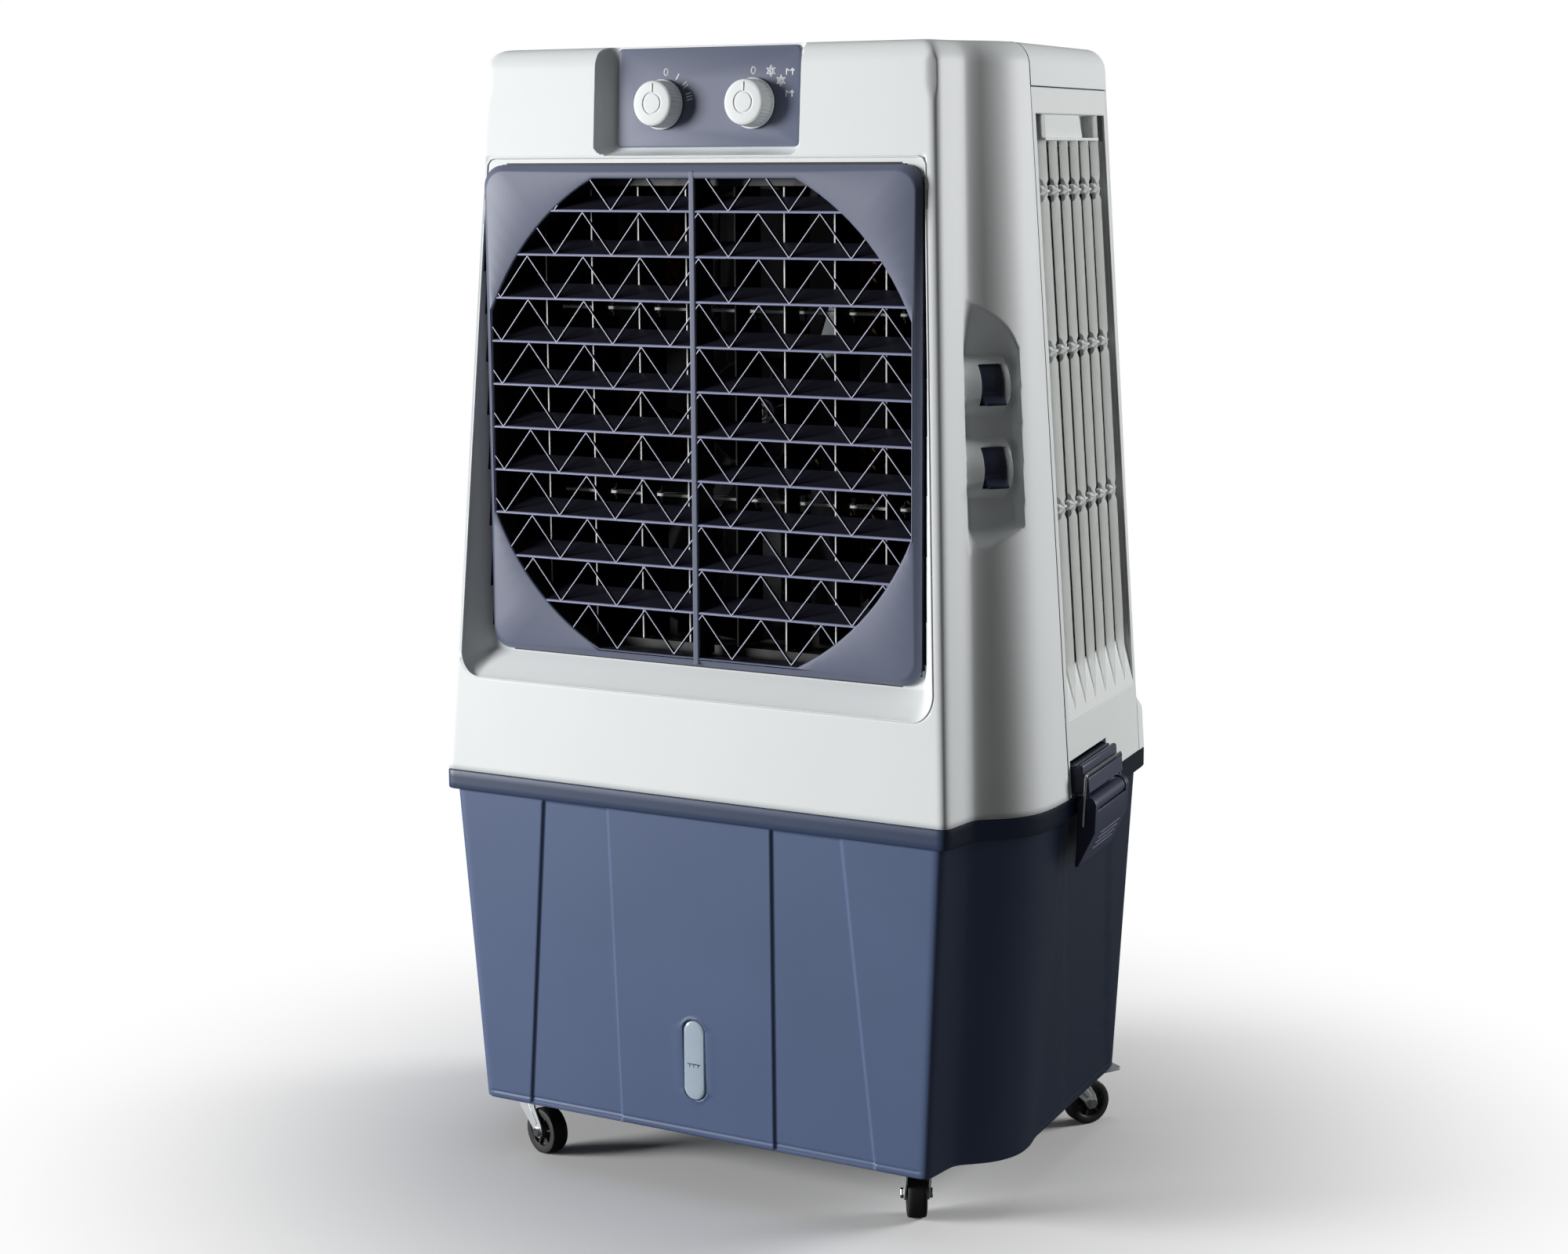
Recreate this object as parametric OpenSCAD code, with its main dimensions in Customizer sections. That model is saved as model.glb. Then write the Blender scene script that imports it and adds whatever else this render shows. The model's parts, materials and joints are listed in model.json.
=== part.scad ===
// Evaporative cooler: a mobile fan cooler on a water tank, built as separate pieces.
// Units are millimetres. +Z is up, the grille faces -Y, and the origin is on the floor
// under the middle of the tank. The right side is +X.

/* [Housing] */
// Height of the top face above the floor
top_z = 1172; // [1000:1:1300]
// Height of the seam between tank and housing
rim_top = 426; // [350:1:500]
// Half width of the front face at the seam
front_half_w = 300; // [240:1:360]
// Half width over the side bulges at the seam
bulge_half_w = 346; // [280:1:400]
// Distance of the front face from the origin at the seam
front_depth = 267; // [220:1:320]
// Distance of the rear face from the origin
rear_depth = 185; // [150:1:240]
// Distance of the rear skirt from the origin at the seam
skirt_depth = 207; // [170:1:260]
// Wall thickness of the housing mouldings
shell_t = 3; // [2:0.5:5]

/* [Tank] */
// Height of the tank's lower edge
tank_bottom = 64; // [50:1:100]
// Height of the flange round the tank's mouth
rim_h = 21; // [10:1:30]
// How far the tank wall steps in under the flange
rim_step = 8; // [4:1:15]
// Wall thickness of the tank
tank_t = 4; // [3:0.5:6]
// Height of the water level window
window_h = 84; // [50:1:120]
// Width of the water level window
window_w = 25; // [15:1:40]

/* [Grille] */
// Half width of the grille's outer frame
bezel_half_w = 255; // [200:1:280]
// Lower edge of the grille's outer frame
bezel_z0 = 556; // [500:1:600]
// Upper edge of the grille's outer frame
bezel_z1 = 1056; // [1000:1:1100]
// Half width of the air opening
open_half_w = 245; // [190:1:260]
// Radius of the arcs that cut the corners of the air opening
open_r = 266; // [230:1:300]
// Number of fixed horizontal blades
blades = 10; // [6:1:14]
// Spacing of the fixed horizontal blades
blade_pitch = 44.4; // [30:0.1:60]
// Spacing of the zigzag stiffeners
zigzag_pitch = 69; // [50:1:90]

/* [Airflow] */
// Number of upright swing vanes
vanes = 8; // [4:2:12]
// Spacing of the upright swing vanes
vane_pitch = 57.1; // [40:0.1:70]
// Height of the fan's axis above the floor
fan_z = 804; // [700:1:900]
// Radius over the fan's blade tips
fan_r = 227; // [180:1:240]
// Number of fan blades
fan_blades_n = 5; // [3:1:7]

/* [Casters] */
// Diameter of a caster wheel
wheel_d = 50; // [40:1:75]
// Width of a caster wheel
wheel_w = 20; // [15:1:30]
// Distance of the wheel's axle from the swivel axis
trail = 22; // [15:1:30]

/* [Hidden] */
$fn = 64;

off_white = [0.90, 0.92, 0.92];
light_grey = [0.78, 0.80, 0.81];
slate = [0.36, 0.41, 0.54];
navy = [0.17, 0.20, 0.30];
black = [0.07, 0.07, 0.08];
zinc = [0.75, 0.78, 0.80];
steel = [0.62, 0.64, 0.66];
pad_brown = [0.55, 0.34, 0.16];
eps = 0.01;
over = 60; // how far a cutting tool runs past the surface it cuts

// The housing's draft: how much each face moves in for each millimetre of height.
front_lean = 0.060;
front_draft = 0.050;
bulge_draft = 0.0715;
side_draft = 0.0684;
side_taper = 0.1533; // how much the side face narrows for each millimetre to the rear
seam_y = -82;        // front edge of the side panel
seam_x = 342;        // half width at that edge, at the seam
side_yaw = atan(side_taper);
side_tilt = atan(side_draft * cos(side_yaw));
seam_gap = 0.3;
corner_run = 18;     // how far before the rear face the side plane ends
// The side panel's front edge leans forward as it rises, and the seam beside it leans the same.
seam_lean = atan(tan(side_tilt) * sin(side_yaw));

function front_y(z) = -front_depth + front_lean * (z - rim_top);
function front_w(z) = front_half_w - front_draft * (z - rim_top);
function bulge_w(z) = bulge_half_w - bulge_draft * (z - rim_top);
function side_x(z, y) = seam_x - side_draft * (z - rim_top) - side_taper * (y - seam_y);

// One half of the plan outline, from the front corner back along the flute and the
// bulge to the rear corner, moved in by g.
function half_outline(wf, wb, ws, wr, yf, yr, g) = let (corner = max(9 - 0.6 * g, 1)) [
    [wf - g - corner, yf + g],
    [wf - g, yf + g + corner],
    [wf + 1 - g, yf + 46],
    [wf + 6 - g, yf + 59 + 0.33 * g],
    [(wf + wb) / 2 - 0.8 * g, yf + 77 + 0.6 * g],
    [wb - 6 - 0.85 * g, yf + 95 + 0.5 * g],
    [wb - g, yf + 113],
    [ws - g, seam_y],
    [wr - g, yr - corner_run],
    [wr - 5 - 0.8 * g, yr - 5 - 0.7 * g],
    [wr - 16 - 0.4 * g, yr - g]];

function whole_outline(half) = concat(half, [for (i = [len(half) - 1:-1:0]) [-half[i][0], half[i][1]]]);

function housing_outline(z, yr, g) = whole_outline(half_outline(
    front_w(z), bulge_w(z), side_x(z, seam_y), side_x(z, yr - corner_run), front_y(z), yr, g));

// The tank's wall runs from its foot to the underside of the flange.
tank_wall_top = rim_top - rim_h;
function tank_mix(z, low, high) = low + (high - low) * (z - tank_bottom) / (tank_wall_top - tank_bottom);
function tank_front_y(z) = tank_mix(z, -248, -front_depth + rim_step - 1);
function tank_outline(z, g) = whole_outline(half_outline(
    tank_mix(z, 271, front_half_w - rim_step), tank_mix(z, 315, bulge_half_w - rim_step),
    tank_mix(z, 306, seam_x - rim_step), tank_mix(z, 273, 290),
    tank_front_y(z), tank_mix(z, 188, skirt_depth - rim_step), g));

function middle(outline) = [for (p = outline) 1] * outline / len(outline);

// A closed skin through a stack of [height, outline] levels with equal point counts.
module loft(levels) {
    n = len(levels[0][1]);
    rings = len(levels);
    points = concat(
        [for (l = levels) for (p = l[1]) [p[0], p[1], l[0]]],
        [for (l = [levels[0], levels[rings - 1]]) concat(middle(l[1]), l[0])]);
    sides = [for (r = [0:rings - 2]) for (i = [0:n - 1]) let (j = (i + 1) % n, a = r * n, b = a + n)
        each [[a + i, b + i, b + j], [a + i, b + j, a + j]]];
    last = (rings - 1) * n;
    floor_faces = [for (i = [0:n - 1]) [rings * n, i, (i + 1) % n]];
    roof_faces = [for (i = [0:n - 1]) [rings * n + 1, last + (i + 1) % n, last + i]];
    polyhedron(points, concat(sides, floor_faces, roof_faces));
}

// The housing's outer form moved in by g, with its rounded top edge and rear skirt.
skirt_top = 484;
module housing_block(g = 0, low = rim_top, cut_top = 0) {
    crown = top_z - cut_top;
    loft([[low, housing_outline(rim_top, skirt_depth, g)],
          [skirt_top, housing_outline(skirt_top, skirt_depth, g)],
          [skirt_top + 6, housing_outline(skirt_top + 6, rear_depth, g)],
          [crown - 22, housing_outline(crown - 22, rear_depth, g)],
          [crown - 10, housing_outline(crown - 10, rear_depth, g + 3)],
          [crown - 3, housing_outline(crown - 3, rear_depth, g + 9)],
          [crown, housing_outline(crown, rear_depth, g + 18)]]);
}

// Everything in front of the seam (side = -1) or behind it (side = 1), short of it by the gap.
module seam_half(side) {
    translate([0, seam_y + side * seam_gap, rim_top])
        rotate([seam_lean, 0, 0])
            translate([-400, side < 0 ? -400 : 0, -10])
                cube([800, 400, top_z]);
}

module housing_skin() {
    difference() {
        housing_block();
        housing_block(shell_t, rim_top - 1, shell_t);
    }
}

// Local frame on the right side face: x out of the face, y to the rear, z up the face.
module on_side() {
    translate([seam_x, seam_y, rim_top])
        rotate([0, 0, side_yaw])
            rotate([0, -side_tilt, 0])
                children();
}

module box(low, high) {
    translate(low)
        cube(high - low);
}

module y_cylinder(r, y0, y1) {
    translate([0, y0, 0])
        rotate([-90, 0, 0])
            cylinder(r = r, h = y1 - y0);
}

module x_cylinder(r, x0, x1) {
    translate([x0, 0, 0])
        rotate([0, 90, 0])
            cylinder(r = r, h = x1 - x0);
}

// A flat shape drawn in x and z, given depth from y0 to y1.
module front_extrude(y0, y1) {
    translate([0, y1, 0])
        rotate([90, 0, 0])
            linear_extrude(y1 - y0)
                children();
}

module round_rect(x0, z0, x1, z1, r) {
    translate([x0 + r, z0])
        square([x1 - x0 - 2 * r, z1 - z0]);
    translate([x0, z0 + r])
        square([x1 - x0, z1 - z0 - 2 * r]);
    for (x = [x0 + r, x1 - r], z = [z0 + r, z1 - r])
        translate([x, z])
            circle(r = r);
}

// ---------------------------------------------------------------- tank

caster_x = 236;
caster_front_y = -205;
caster_rear_y = 150;
caster_floor = 72; // underside of the tank floor, where the caster plates sit
caster_spots = [[-caster_x, caster_front_y, -18], [caster_x, caster_front_y, 122],
                [-caster_x, caster_rear_y, 100], [caster_x, caster_rear_y, 58]];
caster_hole_half = 17; // half spacing of a caster plate's screw holes

drain_x = -150;
drain_z = 92;
drain_r = 14;
inlet_x = 150;
inlet_z = 368;
inlet_r = 6.5;
window_z = 147;

module at_casters() {
    for (c = caster_spots)
        translate([c[0], c[1], 0])
            rotate([0, 0, c[2]])
                children();
}

module obround(w, h) {
    square([w, h - w], center = true);
    for (s = [-1, 1])
        translate([0, s * (h - w) / 2])
            circle(d = w);
}

// A shallow strip that is pressed into the tank's front between two upright edges.
module front_pleat(x_top_in, x_top_out, x_low_in, x_low_out) {
    depth = 2.5;
    function strip(z, x0, x1) = let (y = tank_front_y(z))
        [[x0, y - 9], [x1, y - 9], [x1, y + depth], [x0, y + depth]];
    loft([[tank_bottom - 1, strip(tank_bottom - 1, x_low_in, x_low_out)],
          [tank_wall_top, strip(tank_wall_top, x_top_in, x_top_out)]]);
}

module water_tank() {
    color(slate)
    difference() {
        union() {
            loft([[tank_bottom, tank_outline(tank_bottom, 0)],
                  [tank_wall_top + 1, tank_outline(tank_wall_top + 1, 0)]]);
            loft([[tank_wall_top, housing_outline(rim_top, skirt_depth, 0)],
                  [rim_top, housing_outline(rim_top, skirt_depth, 0)]]);
        }
        loft([[caster_floor + 3, tank_outline(caster_floor + 3, tank_t)],
              [rim_top + 1, tank_outline(rim_top + 1, tank_t)]]);
        loft([[tank_bottom - 1, tank_outline(tank_bottom - 1, tank_t)],
              [caster_floor, tank_outline(caster_floor, tank_t)]]);
        front_pleat(98, 178, 93, 210);
        mirror([1, 0, 0])
            front_pleat(98, 178, 93, 210);
        translate([0, 0, window_z])
            front_extrude(-front_depth, -200)
                obround(window_w, window_h);
        translate([drain_x, 0, drain_z])
            y_cylinder(drain_r, 150, 220);
        translate([inlet_x, 0, inlet_z])
            y_cylinder(9, 150, 220);
        at_casters()
            for (x = [-1, 1], y = [-1, 1])
                translate([x * caster_hole_half, y * caster_hole_half, caster_floor - 1])
                    cylinder(r = 2.2, h = 6);
    }
}

module level_window() {
    color([0.85, 0.92, 0.96])
    translate([0, 0, window_z])
        front_extrude(-252.5, -247)
            obround(window_w - 0.1, window_h - 0.1);
}

module drain_plug() {
    wall_y = 189.6;
    color(navy)
    translate([drain_x, 0, drain_z]) {
        y_cylinder(drain_r - 0.06, wall_y - 11, wall_y + 1);
        y_cylinder(18, wall_y, wall_y + 5);
        box([-12, wall_y + 4, -2.5], [12, wall_y + 12, 2.5]);
    }
}

// ---------------------------------------------------------------- housing

grille_y = -240;      // front of the grille's frame
seat_y = -230;        // seat of that frame on the front shell
seat_t = 3;
recess_low_w = 289;
recess_top_w = 257;
recess_z0 = 527;
panel_half_w = 104;
panel_z0 = 1074;
panel_recess_w = 123;
panel_recess_z0 = 1066;
panel_setback = 18;
front_angle = atan(front_lean);

// Frame on the leaning front face at height z: x right, z up the face, y into the body.
module on_front(z) {
    translate([0, front_y(z), z])
        rotate([-front_angle, 0, 0])
            children();
}

// The tapered recess round the grille, grown by g.
module grille_funnel(g = 0) {
    hull() {
        front_extrude(-290, -289)
            polygon([[-recess_low_w - 6 - g, recess_z0 + 40], [-recess_low_w + 24, recess_z0 - 6 - g],
                     [recess_low_w - 24, recess_z0 - 6 - g], [recess_low_w + 6 + g, recess_z0 + 40],
                     [recess_top_w + 4 + g, bezel_z1 + 6 + g], [-recess_top_w - 4 - g, bezel_z1 + 6 + g]]);
        front_extrude(seat_y - 0.1, seat_y)
            round_rect(-bezel_half_w - 2 - g, bezel_z0 - 2 - g, bezel_half_w + 2 + g, bezel_z1 + 2 + g, 22);
    }
}

module panel_pocket(g = 0) {
    on_front(panel_z0)
        front_extrude(-over, panel_setback + 3 + g)
            translate([0, panel_recess_z0 - panel_z0 - g])
                translate([-panel_recess_w - g, 0])
                    square([2 * (panel_recess_w + g), 200]);
}

// Frame of the thumb levers' recess in the right flute: x outward, y to the rear, z up.
lever_mid = [299, -168, 802];
lever_yaw = -36.9;
lever_tilt = 5;
pod_zs = [44, -36];
pod_r = 31;
pod_x = -30;
pod_half_l = 20;
drum_half_l = 11;
lever_pivot_r = 4;
tab_angle = 28; // how far the lever's tab points below the horizontal
module at_lever_recess() {
    translate(lever_mid)
        rotate([0, 0, lever_yaw])
            rotate([0, -lever_tilt, 0])
                children();
}

module lever_pocket(g = 0) {
    at_lever_recess()
        box([-18 - g, -27 - g, -112 - g], [over, 30 + g, 108 + g]);
}

module pods() {
    at_lever_recess()
        for (z = pod_zs)
            translate([pod_x, 0, z])
                difference() {
                    y_cylinder(pod_r, -pod_half_l, pod_half_l);
                    box([-pod_r - 1, -pod_half_l - 1, -pod_r - 1], [9, pod_half_l + 1, pod_r + 1]);
                }
}

// Lugs behind the recess that carry the levers' pins.
module lever_lugs() {
    at_lever_recess()
        for (z = pod_zs, s = [0, 1])
            mirror([0, s, 0])
                box([pod_x - 6, drum_half_l + 1.5, z - 7], [-19, pod_half_l + 1.5, z + 7]);
}

module pod_slots() {
    slot_half_h = pod_r * 0.62;
    at_lever_recess()
        for (z = pod_zs)
            translate([pod_x, 0, z]) {
                y_cylinder(pod_r - 2, -drum_half_l - 0.5, drum_half_l + 0.5);
                box([0, -drum_half_l - 0.5, -slot_half_h], [pod_r + 20, drum_half_l + 0.5, slot_half_h]);
                y_cylinder(lever_pivot_r + 0.06, -pod_half_l - 2, pod_half_l + 2);
            }
}

module front_shell() {
    color(off_white)
    difference() {
        union() {
            intersection() {
                housing_block();
                union() {
                    difference() {
                        seam_half(-1);
                        housing_block(shell_t, rim_top - 1, shell_t);
                    }
                    difference() {
                        grille_funnel(shell_t);
                        box([-400, seat_y + seat_t, 0], [400, 400, 1300]);
                    }
                    front_extrude(seat_y, seat_y + seat_t)
                        round_rect(-bezel_half_w - 5, bezel_z0 - 5, bezel_half_w + 5, bezel_z1 + 5, 22);
                    panel_pocket(shell_t);
                    intersection() {
                        union() {
                            lever_pocket(shell_t);
                            lever_lugs();
                        }
                        seam_half(-1);
                    }
                }
            }
        }
        grille_funnel();
        front_extrude(-300, -200)
            round_rect(-open_half_w - 4, bezel_z0 + 5, open_half_w + 4, bezel_z1 - 9, 10);
        panel_pocket();
        at_knobs([-knob_x, knob_x])
            y_cylinder(4, 0, 10);
        difference() {
            lever_pocket();
            pods();
        }
        pod_slots();
    }
}

rail_x = 4.5; // depth of the rail behind the side panels

module side_opening() {
    on_side()
        box([-rail_x, -5, -1], [over, 264, 708]);
}

rear_open_w0 = 236; // half width of the rear opening at its foot
rear_open_w1 = 222;
rear_open_z0 = 503;
rear_open_z1 = 1036;

module rear_trapezoid(g) {
    polygon([[-rear_open_w0 - g, rear_open_z0 - g], [rear_open_w0 + g, rear_open_z0 - g],
             [rear_open_w1 + g, rear_open_z1 + g], [-rear_open_w1 - g, rear_open_z1 + g]]);
}

module rear_shell() {
    color(off_white)
    difference() {
        intersection() {
            seam_half(1);
            union() {
                housing_skin();
                difference() {
                    loft([[rim_top, housing_outline(rim_top, skirt_depth, 0)],
                          [rim_top + 18, housing_outline(rim_top + 18, skirt_depth, 0)]]);
                    loft([[rim_top - 1, housing_outline(rim_top, skirt_depth, 12)],
                          [rim_top + 19, housing_outline(rim_top + 19, skirt_depth, 12)]]);
                }
            }
        }
        side_opening();
        mirror([1, 0, 0])
            side_opening();
        front_extrude(150, 220)
            rear_trapezoid(0);
        translate([power_x, 0, power_z])
            y_cylinder(7, 150, 220);
    }
}

// ---------------------------------------------------------------- controls

knob_x = 53;
knob_up = 42; // height of the knobs above the panel's lower edge, along the panel
knob_r = 21;

module at_knobs(xs) {
    on_front(panel_z0)
        for (x = xs)
            translate([x, panel_setback, knob_up])
                children();
}

module control_panel() {
    color(slate)
    difference() {
        on_front(panel_z0)
            front_extrude(panel_setback, panel_setback + 3)
                round_rect(-panel_half_w, 0, panel_half_w, 92, 8);
        at_knobs([-knob_x, knob_x])
            y_cylinder(4, -10, 10);
    }
}

module rotary_switches() {
    color(black)
    at_knobs([-knob_x, knob_x])
        difference() {
            translate([-14, 6.5, -14])
                cube([28, 20, 28]);
            y_cylinder(3.06, -10, 18);
        }
}

module knob(x) {
    color(off_white)
    at_knobs([x])
        difference() {
            union() {
                y_cylinder(knob_r + 1.5, -5, -1.5);
                y_cylinder(knob_r, -20, -4);
                y_cylinder(3, -6, 16);
                translate([-1, -21, 9])
                    cube([2, 2, 11]);
            }
            for (a = [0:20:340])
                rotate([0, a, 0])
                    translate([knob_r + 0.6, 0, 0])
                        y_cylinder(1.6, -21, -6);
        }
}

module thumb_lever(z) {
    color(navy)
    at_lever_recess()
        translate([pod_x, 0, z])
            difference() {
                union() {
                    y_cylinder(pod_r - 3, -drum_half_l, drum_half_l);
                    y_cylinder(lever_pivot_r, -pod_half_l - 1, pod_half_l + 1);
                    rotate([0, tab_angle, 0])
                        box([pod_r - 5, -drum_half_l, -3], [pod_r + 10, drum_half_l, 2]);
                }
                rotate([0, tab_angle, 0])
                    box([-40, -drum_half_l - 1, -40], [-8, drum_half_l + 1, 40]);
            }
}

// ---------------------------------------------------------------- grille and vanes

open_mid_z = (bezel_z0 + bezel_z1) / 2 - 2;
open_half_h = 238.5;
blade_depth = 32;
blade_rise = 15;
blade_t = 2;
first_blade_z = 1010;

module opening_shape() {
    intersection() {
        translate([-open_half_w, open_mid_z - open_half_h])
            square([2 * open_half_w, 2 * open_half_h]);
        translate([0, open_mid_z])
            circle(r = open_r);
    }
}

// One row of zigzag between the blade at height z and the blade above it.
module zigzag_row(z, h) {
    half = zigzag_pitch / 2;
    start = 7.5 - 4 * zigzag_pitch;
    upper = [for (i = [0:16]) [start + i * half, z + (i % 2 == 0 ? h : 0) + 1.2]];
    lower = [for (i = [16:-1:0]) [start + i * half, z + (i % 2 == 0 ? h : 0) - 1.2]];
    polygon(concat(upper, lower));
}

module front_grille() {
    color(slate) {
        difference() {
            front_extrude(grille_y, seat_y)
                round_rect(-bezel_half_w, bezel_z0, bezel_half_w, bezel_z1, 22);
            front_extrude(grille_y - 1, seat_y + 1)
                opening_shape();
        }
        front_extrude(grille_y + 1, grille_y + 6)
            intersection() {
                opening_shape();
                union()
                    for (i = [0:blades])
                        zigzag_row(first_blade_z - i * blade_pitch, blade_pitch);
            }
        intersection() {
            front_extrude(grille_y, grille_y + blade_depth + 4)
                opening_shape();
            union() {
                for (i = [0:blades - 1])
                    translate([0, grille_y + 1, first_blade_z - i * blade_pitch])
                        rotate([atan(blade_rise / blade_depth), 0, 0])
                            box([-open_half_w - 5, 0, -blade_t / 2], [open_half_w + 5, blade_depth + 3, blade_t / 2]);
                box([-3.5, grille_y, bezel_z0], [3.5, grille_y + blade_depth, bezel_z1]);
            }
        }
    }
}

vane_y = -186;
vane_front = 19.5;
vane_back = 29;
vane_t = 2;
vane_z0 = 574;
vane_z1 = 1034;
pin_arm = 20; // distance of a vane's crank pin behind its axis
link_zs = [909, 718];
link_t = 3;

module frame_ring(y0, y1, w, z0, z1) {
    front_extrude(y0, y1)
        difference() {
            translate([-bezel_half_w - 1, bezel_z0 - 3])
                square([2 * bezel_half_w + 2, bezel_z1 - bezel_z0 + 6]);
            translate([-w, z0])
                square([2 * w, z1 - z0]);
        }
}

function vane_x(i) = (i - (vanes - 1) / 2) * vane_pitch;

module vane_frame() {
    color(black)
    difference() {
        union() {
            frame_ring(seat_y + seat_t + 1.2, -202, open_half_w + 4.5, bezel_z0 + 4.5, bezel_z1 - 8.5);
            frame_ring(-202, -168, open_half_w - 3, vane_z0 - 1, vane_z1 + 1);
        }
        for (i = [0:vanes - 1])
            translate([vane_x(i), vane_y, 0])
                cylinder(r = 2.55, h = 1400);
    }
}

module swing_vane(i) {
    color(black)
    translate([vane_x(i), vane_y, 0]) {
        difference() {
            box([-vane_t / 2, -vane_front, vane_z0], [vane_t / 2, vane_back, vane_z1]);
            for (z = link_zs)
                box([-5, 8, z - 7], [5, vane_back + 1, z + 7 + link_t]);
        }
        // The first vane's lower pin is longer and enters the swing motor.
        translate([0, 0, i == 0 ? vane_z0 - 28 : vane_z0 - 20])
            cylinder(r = 2.5, h = i == 0 ? 34 : 26);
        translate([0, 0, vane_z1 - 6])
            cylinder(r = 2.5, h = 20);
        for (z = link_zs)
            translate([0, pin_arm, z - 10])
                cylinder(r = 1.5, h = 23);
    }
}

module vane_link_bars() {
    color(light_grey)
    for (z = link_zs)
        difference() {
            box([-vane_x(vanes - 1) - 9, vane_y + 12, z], [vane_x(vanes - 1) + 9, vane_y + 26, z + link_t]);
            for (i = [0:vanes - 1])
                box([vane_x(i) - 1.9, vane_y + 15.5, z - 1], [vane_x(i) + 1.9, vane_y + 22.5, z + link_t + 1]);
        }
}

module swing_motor() {
    color(light_grey)
    translate([vane_x(0), vane_y, 0])
        difference() {
            union() {
                translate([0, 0, bezel_z0 - 22])
                    cylinder(r = 15, h = 18.8);
                box([-24, -6, bezel_z0 - 6], [24, 6, bezel_z0 - 3.2]);
            }
            translate([0, 0, bezel_z0 - 12])
                cylinder(r = 2.56, h = 40);
        }
}

// ---------------------------------------------------------------- fan

shroud_y = -150;
ring_r = 233;
bracket_x = 40;
post_rise = 244;

module fan_shroud() {
    color(black)
    difference() {
        union() {
            // The notch on the right clears the thumb levers.
            front_extrude(shroud_y, shroud_y + 3)
                polygon([[-268, 445], [268, 445], [268, 720], [248, 720], [248, 890], [262, 890],
                         [262, 1112], [-262, 1112]]);
            translate([0, 0, fan_z])
                y_cylinder(ring_r + 3, shroud_y, -58);
        }
        translate([0, 0, fan_z])
            y_cylinder(ring_r, shroud_y - 1, -50);
    }
}

module motor_bracket() {
    color(zinc)
    for (s = [-1, 1]) {
        difference() {
            box([s * bracket_x - 15, -30, fan_z - post_rise - 12], [s * bracket_x + 15, -27, fan_z + post_rise + 12]);
            translate([0, 0, fan_z])
                for (z = [-34, 34])
                    translate([s * bracket_x, 0, z])
                        y_cylinder(2.6, -40, -20);
        }
        for (z = [-post_rise, post_rise])
            translate([s * bracket_x, 0, fan_z + z])
                y_cylinder(6, shroud_y + 3, -30);
    }
}

module fan_motor() {
    color(steel)
    translate([0, 0, fan_z])
        difference() {
            union() {
                y_cylinder(52, -20, 48);
                y_cylinder(20, -30, -19);
                y_cylinder(24, 47, 56);
                for (s = [-1, 1], z = [-34, 34])
                    translate([s * bracket_x, 0, z])
                        y_cylinder(7, -27, -10);
            }
            y_cylinder(6.05, -31, 30);
        }
}

module motor_shaft() {
    color(steel)
    translate([0, 0, fan_z])
        y_cylinder(6, -116, 29);
}

hub_r = 56;
module fan_impeller() {
    color(light_grey)
    translate([0, 0, fan_z])
        difference() {
            union() {
                difference() {
                    y_cylinder(hub_r, -130, -86);
                    y_cylinder(hub_r - 3, -131, -90);
                }
                y_cylinder(14, -105, -86);
                intersection() {
                    difference() {
                        y_cylinder(fan_r, -140, -60);
                        y_cylinder(hub_r - 1, -141, -59);
                    }
                    for (i = [0:fan_blades_n - 1])
                        rotate([0, 8 + i * 360 / fan_blades_n, 0])
                            translate([0, -105, 0])
                                rotate([0, 0, 27])
                                    box([-58, -1.5, hub_r - 6], [58, 1.5, fan_r + 20]);
                }
            }
            y_cylinder(6.02, -140, -60);
        }
}

module fan_nut() {
    color(zinc)
    translate([0, 0, fan_z])
        difference() {
            union() {
                rotate([0, 30, 0])
                    translate([0, -113, 0])
                        rotate([-90, 0, 0])
                            cylinder(r = 11, h = 6.5, $fn = 6);
                y_cylinder(13, -106.5, -105);
            }
            y_cylinder(6.02, -120, -100);
        }
}

// ---------------------------------------------------------------- panels and pads

panel_len = 261.5;
panel_h = 704;
panel_t = 3;
field_y0 = 12;       // the slatted field in the side panel
field_y1 = 253;
field_z1 = 679;
ramp_z0 = 75;        // the ramp that closes the field's lower end
ramp_z1 = 127;
slats = 6;
slat_y0 = 40.6;
slat_pitch = 36.9;
slat_depth = 9;
rib_zs = [604, 445.5, 288.5];
hood_z0 = 656;       // foot of the filling hood at the field's upper end
keeper_y0 = 7;       // cut-out for the latch keeper
keeper_y1 = 137;
keeper_z1 = 37;
tray_y0 = 9;
tray_y1 = 256;
tray_z0 = 62;
tray_z1 = 652.9;
tray_depth = 48;

// A shape drawn in x and z on the side face, run along it from y0 to y1.
module along_side(y0, y1) {
    translate([0, y1, 0])
        rotate([90, 0, 0])
            linear_extrude(y1 - y0)
                children();
}

module slat_row() {
    last = slats - 1;
    difference() {
        for (i = [0:last])
            translate([0, slat_y0 + i * slat_pitch, 0])
                box([-slat_depth, -1, ramp_z0 + 20], [0, 1, i == 0 || i == last ? field_z1 + 1 : hood_z0 - 1]);
        for (z = rib_zs)
            translate([0, 0, z])
                along_side(field_y0, field_y1)
                    polygon([[1, -11], [-3.5, 0], [1, 11]]);
    }
    for (z = rib_zs)
        box([-slat_depth, field_y0 - 1, z - 2], [-5, field_y1 + 1, z + 2]);
}

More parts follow.
